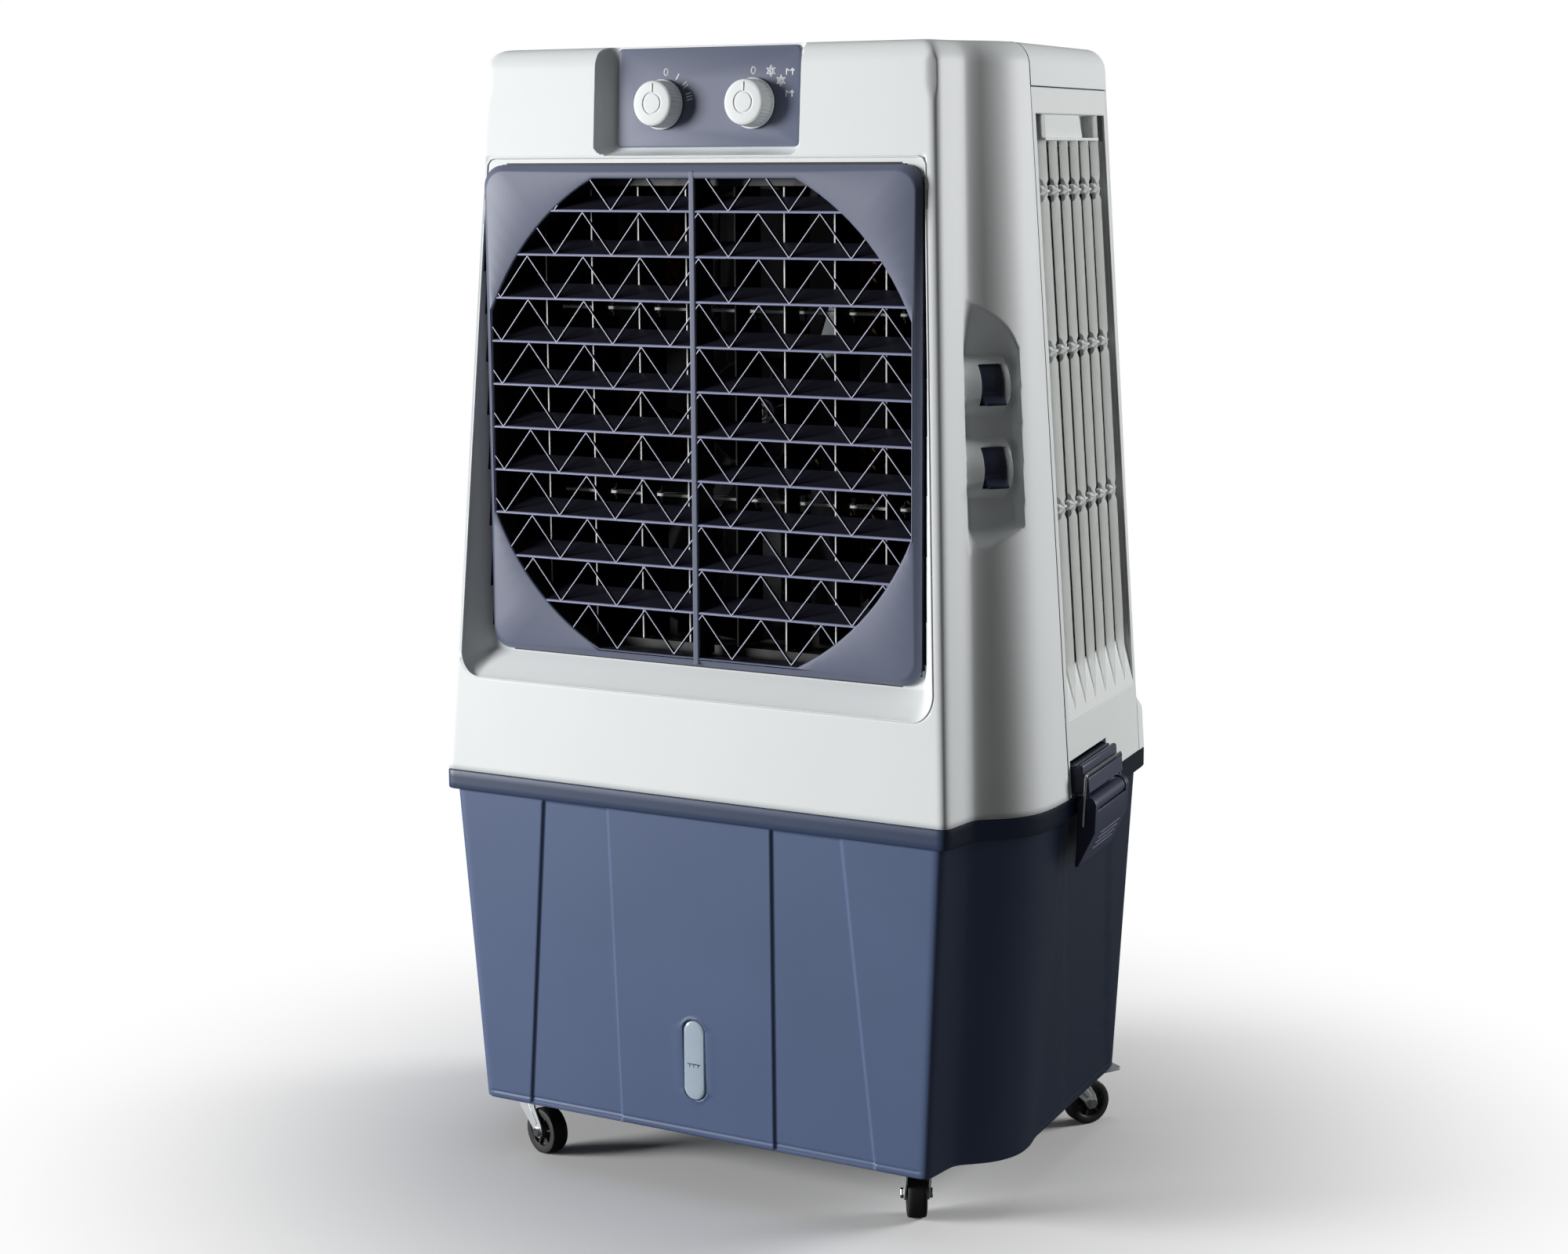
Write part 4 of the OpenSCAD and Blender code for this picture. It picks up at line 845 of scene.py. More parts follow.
def zigzag_bar(shape, low, high):
    """One slanted stiffener between two blades, as far as it lies in the opening."""
    def in_opening(p):
        return abs(p[0]) <= opening_half_width(p[1]) + 0.6 and abs(p[1] - OPEN_Z) < OPEN_H + 0.6

    line = [low + (high - low) * t for t in np.linspace(0, 1, 60)]
    inside = [p for p in line if in_opening(p)]
    if len(inside) < 3:
        return
    a, b = inside[0], inside[-1]
    ahead = (b - a) / np.linalg.norm(b - a)
    across = np.array([-ahead[1], ahead[0]])
    section = [(-0.35, -239.3), (0.35, -239.3), (0.6, -238.8), (0.5, -235.5), (-0.5, -235.5), (-0.6, -238.8)]
    rows = []
    for w, y in section + section[:1]:
        rows.append([((p + across * w)[0], y, (p + across * w)[1]) for p in (a, b)])
    start = len(shape.verts)
    shape.grid(np.array(rows))
    shape.faces.append(tuple(start + 2 * k for k in reversed(range(6))))
    shape.faces.append(tuple(start + 2 * k + 1 for k in range(6)))


def grille_zigzags():
    """Slanted stiffeners between the blades, turned the other way every time."""
    ribs = Shape()
    half, first_x, gap = ZIGZAG_PITCH / 2, 7.5, BLADE_PITCH - 2
    for i in range(BLADES + 1):
        foot = BLADE_Z - i * BLADE_PITCH + 1.0
        for k in range(-8, 9):
            ends = [(first_x + k * half, foot + gap), (first_x + (k + 1) * half, foot)]
            if k % 2:
                ends = [(ends[0][0], foot), (ends[1][0], foot + gap)]
            zigzag_bar(ribs, *np.array(ends))
    # Painted shade and painted highlight: the stiffeners are made near black, and their front faces pale
    # where light would catch them.
    ob = ribs.build("front_grille_zigzags", "grille", sharp=30)
    paint(ob, "rib", lambda c, n: c.y < -238.9)


def front_grille():
    grille_bezel()
    grille_blades()
    grille_zigzags()
    face = Shape().box((-3.4, GRILLE_Y - 0.2, 558), (3.4, GRILLE_Y + 3.5, 1050))
    rounded(face.build("front_grille_mullion_face", "slate"), 1.3, 3)
    # Painted shade: the web behind the middle bar is made near black.
    web = Shape().box((-2.6, GRILLE_Y + 3, 566), (2.6, -208, 1042))
    rounded(web.build("front_grille_mullion_web", "grille"), 0.8, 2)


VANES, VANE_PITCH, VANE_Y = 8, 57.1, -186.0
LINK_Z = (909.0, 718.0)


def vane_x(i):
    return (i - (VANES - 1) / 2) * VANE_PITCH


def swing_vanes():
    """Eight upright vanes with pivots at both ends and crank pins with collars for the link bars."""
    for i in range(VANES):
        x = vane_x(i)
        back, front, notch = VANE_Y + 29, VANE_Y - 19.5, VANE_Y + 8
        outline = [(front, 574), (back, 574)]
        for z in reversed(LINK_Z):
            outline += [(back, z - 7), (notch, z - 7), (notch, z + 10), (back, z + 10)]
        outline += [(back, 1034), (front, 1034)]
        vane = Shape().add([(side, y, z) for side in (x - 0.9, x + 0.9) for y, z in outline],
                           sheet_faces(len(outline)))
        foot = 546 if i == 0 else 554
        vane.tube([(x, VANE_Y, foot), (x, VANE_Y, foot + 0.6), (x, VANE_Y, 580)], [1.9, 2.5, 2.5], 16)
        vane.tube([(x, VANE_Y, 1028), (x, VANE_Y, 1047.4), (x, VANE_Y, 1048)], [2.5, 2.5, 1.9], 16)
        for z in LINK_Z:
            vane.tube([(x, VANE_Y + 20, z - 10), (x, VANE_Y + 20, z + 13)], 1.5, 14)
            for low, high in ((z - 3.2, z - 0.6), (z + 3.6, z + 6.2)):
                vane.tube([(x, VANE_Y + 20, low), (x, VANE_Y + 20, high)], 3.4, 14)
        ob = vane.build(f"swing_vane_{i + 1}_blade", "vane", body=f"swing_vane_{i + 1}",
                        replaces=[f"swing_vane_{i + 1}"])
        # Painted highlight: the vanes' front edges are made pale grey where light would catch them.
        paint(ob, "grey", lambda c, n: c.y < VANE_Y - 19 and n.y < -0.9)
        rounded(ob, 0.25)


def link_bars():
    """Two bars that join the vanes, with a slot round each crank pin."""
    for n, z in enumerate(LINK_Z):
        bar = Shape().box((vane_x(0) - 9, VANE_Y + 12, z), (vane_x(7) + 9, VANE_Y + 26, z + 3))
        ob = bar.build(f"vane_link_bar_{n + 1}", "white", body="vane_links",
                       replaces=["vane_link_bars"] if n == 0 else ())
        holes = Shape()
        for i in range(VANES):
            holes.box((vane_x(i) - 1.9, VANE_Y + 15.5, z - 1), (vane_x(i) + 1.9, VANE_Y + 22.5, z + 4))
        cut(ob, cutter("link_holes", holes))
        rounded(ob, 0.4)


FAN_Z = 804.0


def fan_hub():
    """The hub's boss, its cup and the six ribs between them."""
    hub = Shape().lathe([(6.1, -89.5), (13, -89.5), (13.8, -90.3), (14, -104.4), (13.4, -105), (6.1, -105)],
                        (0, 0, FAN_Z), steps=48)
    hub.lathe([(13, -90), (51, -90), (52.6, -91.5), (53, -93), (53, -129), (53.6, -129.9), (55.2, -130),
               (56, -129.2), (56, -89), (55, -87), (53, -86), (6.1, -86), (6.1, -89)],
              (0, 0, FAN_Z), steps=96)
    for k in range(6):
        a = math.radians(60 * k + 18)
        c, s = math.cos(a), math.sin(a)
        rib = []
        for y in (-104, -89):
            for r, t in ((13, -1), (54, -1), (54, 1), (13, 1)):
                lift = 4 if r > 20 and y == -104 else 0
                rib.append((r * c - t * s, y + lift, FAN_Z + r * s + t * c))
        hub.add(rib, BLOCK)
    return hub


def fan_blade(turn, stations=22, columns=15):
    """Points of one twisted, cambered blade as closed rows from the hub to the tip."""
    root, tip = 54, 227
    sides = []
    for side in (1, -1):
        rows = []
        for t in np.linspace(0, 1, stations):
            r = root + (tip - root) * t
            pitch = math.radians(36 - 13 * t)
            chord = 78 + 34 * math.sin(math.pi * min(t * 0.62 + 0.1, 1))
            narrowing = 1 - 0.16 * max(0.0, (t - 0.86) / 0.14) ** 2
            row = []
            for u in np.linspace(-1, 1, columns):
                c = u * chord * narrowing / 2
                rise = 5.5 * (1 - u * u) + side * 1.25 * math.sqrt(max(1 - u ** 4, 0.0))
                x = c * math.cos(pitch) - rise * math.sin(pitch) + 10 * t * t
                y = -105 + c * math.sin(pitch) + rise * math.cos(pitch)
                px, pz = r * math.sin(x / r), r * math.cos(x / r)
                row.append((px * math.cos(turn) + pz * math.sin(turn), y,
                            FAN_Z - px * math.sin(turn) + pz * math.cos(turn)))
            rows.append(row)
        sides.append(np.array(rows))
    return np.concatenate([sides[0], sides[1][:, ::-1]], axis=1)


def fan_nut():
    """The hub's hexagonal nut with its washer."""
    nut = Shape()
    rows = []
    for r, y in ((6.05, -106.6), (10.2, -106.6), (11, -107.2), (11, -112.2), (9.6, -113), (6.4, -113),
                 (6.05, -112.4), (6.05, -106.6)):
        ring = []
        for k in range(36):
            a = math.radians(10 * k)
            near = math.cos(math.radians(30)) / math.cos(((a + math.pi / 6) % (math.pi / 3)) - math.pi / 6)
            flat = near if r > 8 and not (r < 10 and y < -112.5) else 1
            ring.append((r * flat * math.cos(a), y, FAN_Z + r * flat * math.sin(a)))
        rows.append(ring)
    nut.grid(np.array(rows), closed=True)
    nut.lathe([(6.05, -105), (12.7, -105), (13, -105.3), (13, -106.2), (12.7, -106.5), (6.05, -106.5),
               (6.05, -105)], (0, 0, FAN_Z), steps=48)
    return nut


def fan():
    impeller = fan_hub()
    for k in range(5):
        impeller.loft(fan_blade(math.radians(8 + 72 * k)))
    impeller.build("fan_impeller_moulding", "fan", body="fan", replaces=["fan_impeller"], sharp=35)
    fan_nut().build("fan_nut_and_washer", "bright", body="fan", replaces=["fan_nut"], sharp=25)


# ------------------------------------------------------------------ controls

PANEL_Z, PANEL_SET = 1074.0, 18.0
KNOB_X, KNOB_Z, MARK_R = 53.0, 42.0, 32.0
FRONT_TILT = math.atan(FRONT_DRAFT)


def on_front(p):
    """From the control panel's frame (x right, y into the body, z up the face) to the row frame."""
    turn = np.array(Matrix.Rotation(-FRONT_TILT, 3, "X"))
    return np.asarray(p, float) @ turn.T + np.array([0, front_y(PANEL_Z), PANEL_Z])


def dish(outline, profile, centre):
    """A plate through insets of one outline: profile is (inset, y)."""
    p = np.array(outline)
    c = np.array(centre)
    size = np.abs(p - c).max(axis=0)
    rows = []
    for inset, y in profile:
        q = c + (p - c) * (1 - inset / size)
        rows.append(np.column_stack([q[:, 0], np.full(len(q), y), q[:, 1]]))
    return np.array(rows)


def control_panel():
    """The plate behind the knobs, with a shallow seat and a shaft hole for each."""
    outline = rounded_rect(-107, 0, 104, 97.6, 5)
    edge = [(0, PANEL_SET + 3), (0, PANEL_SET + 0.9), (0.3, PANEL_SET + 0.3), (1.0, PANEL_SET)]
    plate = Shape().loft(dish(outline, edge, (0, 46)))
    ob = plate.build("control_panel_plate", "slate", replaces=["control_panel"], place=on_front)
    holes = Shape()
    for x in (-KNOB_X, KNOB_X):
        for r, depth, sides in ((4, 25, 32), (24.2, PANEL_SET + 0.9, 64)):
            holes.lathe([(0.01, 10), (r, 10), (r, depth), (0.01, depth)], (x, 0, KNOB_Z), steps=sides)
    cut(ob, cutter("panel_holes", holes, on_front))


def strokes(shape, lines, x, z, size, turn=0.0, width=1.4):
    """Printed line marks, a little proud of the panel's face."""
    c, s = math.cos(turn), math.sin(turn)
    top, low = PANEL_SET - 0.12, PANEL_SET + 0.3
    for line in lines:
        p = np.array([(x + size * (a * c - b * s), z + size * (a * s + b * c)) for a, b in line])
        for a, b in zip(p[:-1], p[1:]):
            ahead = (b - a) / max(np.linalg.norm(b - a), 1e-6)
            across = np.array([-ahead[1], ahead[0]]) * width / 2
            a2, b2 = a - ahead * width * 0.3, b + ahead * width * 0.3
            quad = [a2 - across, b2 - across, b2 + across, a2 + across]
            verts = [(q[0], top, q[1]) for q in quad] + [(q[0], low, q[1]) for q in quad]
            shape.add(verts, BLOCK)


def legends():
    """Generic marks round the knobs: 0, I, II and III; 0, cooling flakes and swing arrows."""
    marks = Shape()
    ring = [(0.42 * math.cos(t), 0.62 * math.sin(t)) for t in np.linspace(0, 2 * math.pi, 13)]
    for bars, angle in ((0, 84), (1, 58), (2, 36), (3, 14)):
        a = math.radians(angle)
        x, z = MARK_R * math.cos(a) - KNOB_X, KNOB_Z + MARK_R * math.sin(a)
        if bars == 0:
            strokes(marks, [ring], x, z, 5.4)
            continue
        places = [(k - (bars - 1) / 2) * 0.62 for k in range(bars)]
        strokes(marks, [[(place, -0.6), (place, 0.6)] for place in places], x, z, 5.0, a - math.pi / 2)
    arms = np.linspace(0, 2 * math.pi, 7)[:-1] + math.pi / 6
    flake = [[(0, 0), (math.cos(t), math.sin(t))] for t in arms]
    barb = ((0.62, -0.42), (0.6, 0), (0.62, 0.42))
    flake += [[(r * math.cos(t + turn), r * math.sin(t + turn)) for r, turn in barb] for t in arms]
    swing = [[(-0.8, -0.7), (-0.8, 0.7), (-0.2, 0.25)], [(0.8, -0.7), (0.8, 0.7), (0.25, 0.2)],
             [(0.8, 0.7), (1.25, 0.25)]]
    off = math.radians(92)
    strokes(marks, [ring], KNOB_X + MARK_R * math.cos(off), KNOB_Z + MARK_R * math.sin(off), 5.4)
    for dx, dz in ((19, 31), (30.5, 21.5)):
        strokes(marks, flake, KNOB_X + dx, KNOB_Z + dz, 5.2)
    for dz in (30, 9):
        strokes(marks, swing, KNOB_X + 40, KNOB_Z + dz, 4.2, width=1.2)
    marks.build("control_panel_legends", "legend", place=on_front, sharp=30)


def knobs():
    """Knobs with a fluted skirt, a ring on the face and an engraved pointer."""
    flutes, grow = 40, 1.1
    y0 = PANEL_SET
    profile = [(0.01, y0 - 1.2), (21.8, y0 - 1.2), (22.5, y0 - 2), (22.5, y0 - 3.6), (21.6, y0 - 4.4),
               (21.2, y0 - 5), (21, y0 - 9), (20.8, y0 - 14), (20.5, y0 - 17.4), (19.9, y0 - 19),
               (18.6, y0 - 20), (17.4, y0 - 20.2), (10.2, y0 - 20.3), (9.6, y0 - 19.6), (8.9, y0 - 19.6),
               (8.3, y0 - 20.3), (0.01, y0 - 20.5)]
    profile = [(grow * r, y) for r, y in profile]

    def flute(angle, row):
        return -1.2 * (0.5 - 0.5 * math.cos(flutes * angle)) if 5 <= row <= 8 else 0.0

    for name, x in (("speed_knob", -KNOB_X), ("mode_knob", KNOB_X)):
        knob = Shape().lathe(profile, (x, 0, KNOB_Z), steps=6 * flutes, ripple=flute)
        knob.tube([(x, y0 + 15.8, KNOB_Z), (x, y0 + 15, KNOB_Z), (x, y0 - 3, KNOB_Z)], [2.4, 3, 3], 24)
        knob.build(f"{name}_cap", "white", body=name, replaces=[name], place=on_front, sharp=28)
        pointer = Shape().box((x - 0.8, y0 - 20.9, KNOB_Z + 11), (x + 0.8, y0 - 19, KNOB_Z + 19.5))
        rounded(pointer.build(f"{name}_pointer", "grey", body=name, place=on_front), 0.3)


def lever_drum(zc):
    """The curved face of a thumb lever with its side cheeks and pivot."""
    half, r = 11, POD_R - 3
    arc = [math.radians(a) for a in np.linspace(-74, 74, 40)]
    section = [(POD_X + r * math.cos(t), zc + r * math.sin(t)) for t in arc]
    section = np.array(section + [(POD_X - 6, zc + 20), (POD_X - 6, zc - 20)])
    outward = section - [POD_X + 6, zc]
    outward /= np.linalg.norm(outward, axis=1)[:, None]
    rows = []
    for y, inset in ((-half, 0.6), (-half + 0.5, 0.1), (-half + 1.0, 0), (half - 1.0, 0), (half - 0.5, 0.1),
                     (half, 0.6)):
        q = section - outward * inset
        rows.append(np.column_stack([q[:, 0], np.full(len(q), y), q[:, 1]]))
    return Shape().loft(np.array(rows)).tube([(POD_X, -21, zc), (POD_X, 21, zc)], 4, 24)


def lever_tab(zc):
    """The tab that the thumb presses: distances from the pivot along and across its own direction."""
    section = [(POD_R - 6, -3), (POD_R + 7.2, -3.1), (POD_R + 9.6, -1.6), (POD_R + 10, 0.4), (POD_R + 9, 2),
               (POD_R - 1.5, 2.2), (POD_R - 3, 6.5), (POD_R - 6, 7)]
    c, s = math.cos(math.radians(28)), math.sin(math.radians(28))
    verts = [(POD_X + a * c + t * s, y, zc - a * s + t * c) for y in (-10.6, 10.6) for a, t in section]
    return Shape().add(verts, sheet_faces(len(section)))


def thumb_levers():
    """The two levers in the right flute, each a drum with a tab."""
    for name, zc in (("thumb_lever_upper", POD_Z[0]), ("thumb_lever_lower", POD_Z[1])):
        lever_drum(zc).build(f"{name}_drum", "navy", body=name, replaces=[name], place=on_lever, sharp=35)
        rounded(lever_tab(zc).build(f"{name}_tab", "navy", body=name, place=on_lever, sharp=30), 1.1, 3)


# ------------------------------------------------------------------ side panels and pads

SLATS, SLAT_Y, SLAT_PITCH = 6, 40.6, 36.9
RIB_Z = (604.0, 445.5, 288.5)
# Edges of the field of slats, the ramp at its foot and the filling hood at its top.
FIELD_Y0, FIELD_Y1, RAMP_Z0, RAMP_Z1, FIELD_Z1, HOOD_Z = 12.0, 253.0, 75.0, 127.0, 679.0, 656.0


def fixed_normals(ob):
    """Turns a piece's faces outward."""
    bm = bmesh.new()
    bm.from_mesh(ob.data)
    bmesh.ops.recalc_face_normals(bm, faces=bm.faces)
    bm.to_mesh(ob.data)
    bm.free()
    return ob


def panel_sheet(body, place):
    """The panel's face with its field of slats and the latch's notch cut out."""
    sheet = Shape().box((-3, 0.8, 0.5), (0, 261.5, 704.9))
    ob = sheet.build(f"{body}_face", "grey", body=body, replaces=[body], place=place)
    window = Shape().box((-10, FIELD_Y0, RAMP_Z0), (10, FIELD_Y1, FIELD_Z1))
    window.box((-10, 7, -2), (10, 137, 37))
    cut(ob, cutter("panel_window", window, place))
    # Painted shade: the panel's front edge beside the seam is made black for the shadow in the gap.
    paint(ob, "black", lambda c, n: n.y < -0.8 and c.y < seam_y(c.z) + 3)
    rounded(ob, 0.9, 3)


def panel_slats():
    """Upright slats, notched where the cross ribs pass and flush with the ramp at their feet."""
    slats = Shape()
    for i in range(SLATS):
        y = SLAT_Y + i * SLAT_PITCH
        top = FIELD_Z1 + 1 if i in (0, SLATS - 1) else HOOD_Z - 0.5
        edge = [(0, top)]
        for z in RIB_Z:
            edge += [(0, z + 11), (-3.9, z), (0, z - 11)]
        edge += [(0, RAMP_Z1), (-1.4, 84), (-9, 84), (-9, top)]
        slats.prism(edge, y - 0.95, y + 0.95)
    return slats


STAR = [(-13, 5), (-5, 6.5), (-5, 13), (1.5, 8), (7, 14), (7, 6), (15, 7), (9, 0), (16, -6), (7, -6),
        (8, -14), (0, -8), (-6, -12), (-6, -5), (-15, -4), (-9, 0)]


def panel_cross_ribs():
    """Ribs across the slats, with a star-shaped boss at each crossing."""
    ribs = Shape()
    n = len(STAR)
    faces = [tuple(reversed(range(n)))] + [(k, (k + 1) % n, (k + 1) % n + n, k + n) for k in range(n)]
    faces += [(k + n, (k + 1) % n + n, 2 * n) for k in range(n)]
    for z in RIB_Z:
        section = [(-9, z - 1.3), (-7.4, z - 1.3), (-7, z), (-7.4, z + 1.3), (-9, z + 1.3)]
        ribs.prism(section, FIELD_Y0 - 0.5, FIELD_Y1 + 0.5)
        for i in range(SLATS):
            y = SLAT_Y + i * SLAT_PITCH
            star = [(x, y + size * a, z + size * b) for x, size in ((-7.6, 1), (-4.6, 0.8)) for a, b in STAR]
            ribs.add(star + [(-0.8, y, z)], faces)
    return ribs


def panel_hood():
    """The ramp at the slats' feet, and the filling hood with its chute between the two outer slats."""
    trim = Shape()
    trim.prism([(0, RAMP_Z0), (-8, RAMP_Z1), (-11, RAMP_Z1), (-3, RAMP_Z0 - 1), (-1, RAMP_Z0 - 1)],
               FIELD_Y0 - 0.5, FIELD_Y1 + 0.5)
    y0, y1 = SLAT_Y + 2.4, SLAT_Y + (SLATS - 1) * SLAT_PITCH
    trim.box((-17, y0 - 3, HOOD_Z - 3), (0, y1 + 3, HOOD_Z))
    trim.box((-17, y0 - 3, FIELD_Z1), (-2.9, y1 + 3, FIELD_Z1 + 3))
    trim.box((-17, y0 - 3, HOOD_Z), (-3.5, y0 - 1, FIELD_Z1 + 1))
    trim.box((-17, y1 + 1, HOOD_Z), (-3.5, y1 + 3, FIELD_Z1 + 1))
    chute = [(-2.6, y0 - 1, FIELD_Z1), (-2.6, y0 + 126, FIELD_Z1), (-4.2, y0 + 140, HOOD_Z),
             (-4.2, y0 - 1, HOOD_Z)]
    trim.add(chute + [(-17, y, z) for _, y, z in chute], BLOCK)
    trim.box((-17, y0 - 1, HOOD_Z - 1), (-15, y1 + 1, FIELD_Z1 + 1))
    return trim


def pad_tray():
    """Side and bottom walls behind the slats, with three straps, that hold the pad."""
    tray = Shape()
    tray.box((-48, 9, 62), (-3, 12, 652.9))
    tray.box((-48, 253, 62), (-3, 256, 652.9))
    tray.box((-48, 9, 62), (-3, 256, 65))
    tray.box((-48, 9, 62), (-46, 256, 80))
    for z in (240, 430, 620):
        tray.box((-48, 9, z), (-46, 256, z + 10))
    return tray


def side_panel(side, place):
    """All pieces of one side panel; they move together."""
    body = f"side_panel_{side}"
    panel_sheet(body, place)
    slats = panel_slats().build(f"{body}_slats", "slat", body=body, place=place)
    rounded(fixed_normals(slats), 0.45)
    fixed_normals(panel_cross_ribs().build(f"{body}_cross_ribs", "grey", body=body, place=place, sharp=20))
    for name, shape in (("hood_and_ramp", panel_hood()), ("pad_tray", pad_tray())):
        rounded(fixed_normals(shape.build(f"{body}_{name}", "grey", body=body, place=place)), 0.5)


def corrugated(name, body, width, height, depth, place, replaces, spacing=7.3):
    """A cellulose pad: upright corrugated sheets with crossing flutes, glued at their crests."""
    count = int(width // spacing)
    rows_n, cols_n = int(height / 3.4), 8
    pad = Shape()
    z = np.linspace(0, height, rows_n)
    x = np.linspace(0, depth, cols_n)
    zz, xx = np.meshgrid(z, x, indexing="ij")
    for i in range(count):
        slope = 0.95 if i % 2 else -0.4
        wave = 3.2 * np.sin(2 * math.pi * (zz + slope * xx) / 19.0 + 0.5 * math.sin(i))
        yy = spacing * (i + 0.5) + (width - count * spacing) / 2 + wave
        pad.grid(np.stack([-xx, yy, zz], axis=-1))
    ob = piece(name, pad.verts, pad.faces, "pad", body=body, replaces=replaces, place=place, sharp=180)
    ob.data.materials.append(MAT["pad_face"])
    for k, face in enumerate(ob.data.polygons):
        if k % (cols_n - 1) < 3:
            face.material_index = 1
    modifier(ob, "SOLIDIFY", thickness=0.5 * MM, offset=0)
    return ob


def pads():
    """The side pads move with their panels, and the rear pad with the rear panel."""
    for side, place in (("right", on_side), ("left", on_left_side)):
        def in_tray(p, place=place):
            return place(p + np.array([-13.4, 12.9, 65.8]))
        corrugated(f"cooling_pad_{side}_sheets", f"side_panel_{side}", 239, 582, 33, in_tray,
                   [f"cooling_pad_{side}"])

    def behind_rear(p):
        """Turns the pad's depth axis to the rear of the body."""
        low, high = REAR_OPEN
        z = p[:, 2] + 511
        half = low[1] + (high[1] - low[1]) * (z - low[0]) / (high[0] - low[0]) - 8.5
        return np.column_stack([(p[:, 1] / 440 * 2 - 1) * half, 191.5 + p[:, 0], z])
    corrugated("cooling_pad_rear_sheets", "rear_panel", 440, 517, 28, behind_rear, ["cooling_pad_rear"])


def rear_panel():
    """A frame with a turned edge and a grid of bars."""
    def ring_cut(name, outer, inner, y0, y1, look, **settings):
        body = Shape().prism(rear_trapezoid(outer), y0, y1)
        ob = body.build(name, look, body="rear_panel", **settings)
        return cut(ob, cutter("rear_hole", Shape().prism(rear_trapezoid(inner), y0 - 5, y1 + 5)))
    face = ring_cut("rear_panel_face", 12, -12, 203, 206, "navy", replaces=["rear_panel"])
    rounded(face, 0.9, 3)
    rounded(ring_cut("rear_panel_edge", 12, 9, 185.5, 204, "navy"), 0.5)
    rounded(ring_cut("rear_panel_pad_frame", -4, -7, 160, 204, "navy"), 0.5)
    bars = Shape()
    (z0, w0), (z1, w1) = REAR_OPEN
    for x in range(-200, 201, 25):
        bars.box((x - 1.3, 195, z0 + 11), (x + 1.3, 205.6, z1 - 11))
    for z in (634, 768, 902):
        w = w0 + (w1 - w0) * (z - z0) / (z1 - z0) - 11
        bars.box((-w, 196, z - 2), (w, 204.6, z + 2))
    rounded(bars.build("rear_panel_bars", "navy", body="rear_panel"), 0.6, 2)


# ------------------------------------------------------------------ latches

# The latch in the side's frame: its middle, its hinge, and the bail's pivot and cross bar.
LATCH_Y, HINGE_X, HINGE_Z, BAIL_X, BAIL_Z, BAR_X, BAR_Z = 70.0, 14.0, -9.0, 10.0, -30.0, 16.0, 23.0


def fillet(corners, r, n=6):
    """A path through corners with each inner corner rounded."""
    p = [np.array(c, float) for c in corners]
    path = [p[0]]
    for a, b, c in zip(p[:-2], p[1:-1], p[2:]):
        u, v = (a - b) / np.linalg.norm(a - b), (c - b) / np.linalg.norm(c - b)
        for t in np.linspace(0, 1, n):
            path.append(b + u * r * (1 - t) ** 2 + v * r * t ** 2)
    path.append(p[-1])
    return path


def latch_base():
    """Barrel on the tank's flange, its foot, and the hinge pin with domed ends."""
    barrel = [(0.01, -50), (8, -50), (9, -49), (9, 49), (8, 50), (0.01, 50)]
    base = Shape().lathe(barrel, (HINGE_X, 0, HINGE_Z), steps=40)
    base.box((0.1, -50, HINGE_Z - 8), (HINGE_X - 2, 50, HINGE_Z + 8))
    base.tube([(HINGE_X, -62, HINGE_Z), (HINGE_X, 62, HINGE_Z)], 3, 20)
    dome = [(0.01, -62.6), (3.2, -62.4), (4.2, -61.6), (4.2, -61.2), (0.01, -61.2)]
    for profile in (dome, [(r, -y) for r, y in reversed(dome)]):
        base.lathe(profile, (HINGE_X, 0, HINGE_Z), steps=24)
    return base


def latch_lobes():
    """The lever's two side cheeks round the hinge pin."""
    turns = [math.radians(a) for a in range(-14, 209, 9)]
    arc = [(HINGE_X + 10 * math.cos(t), HINGE_Z + 10 * math.sin(t)) for t in turns]
    tail = [(2.2, HINGE_Z - 30), (-2, HINGE_Z - 61.5), (-0.6, HINGE_Z - 63), (1.4, HINGE_Z - 62.4),
            (21, HINGE_Z - 28)]
    return Shape().prism(arc + tail, -61.3, -50.3).prism(arc + tail, 50.3, 61.3)


def latch_grips():
    """Four raised grip lines across the lever's lower face."""
    grips = Shape()
    nx, nz = 0.87, -0.49
    for k in range(4):
        t = 0.12 + 0.16 * k
        x, z = 21 - 19.8 * t, HINGE_Z - 28 - 35 * t
        low, high = (x - nx, z - nz), (x + 0.7 * nx, z + 0.7 * nz)
        grips.prism([low, high, (high[0] - 0.5, high[1] - 0.9), (low[0] - 0.5, low[1] - 0.9)], -34, 38)
    return grips


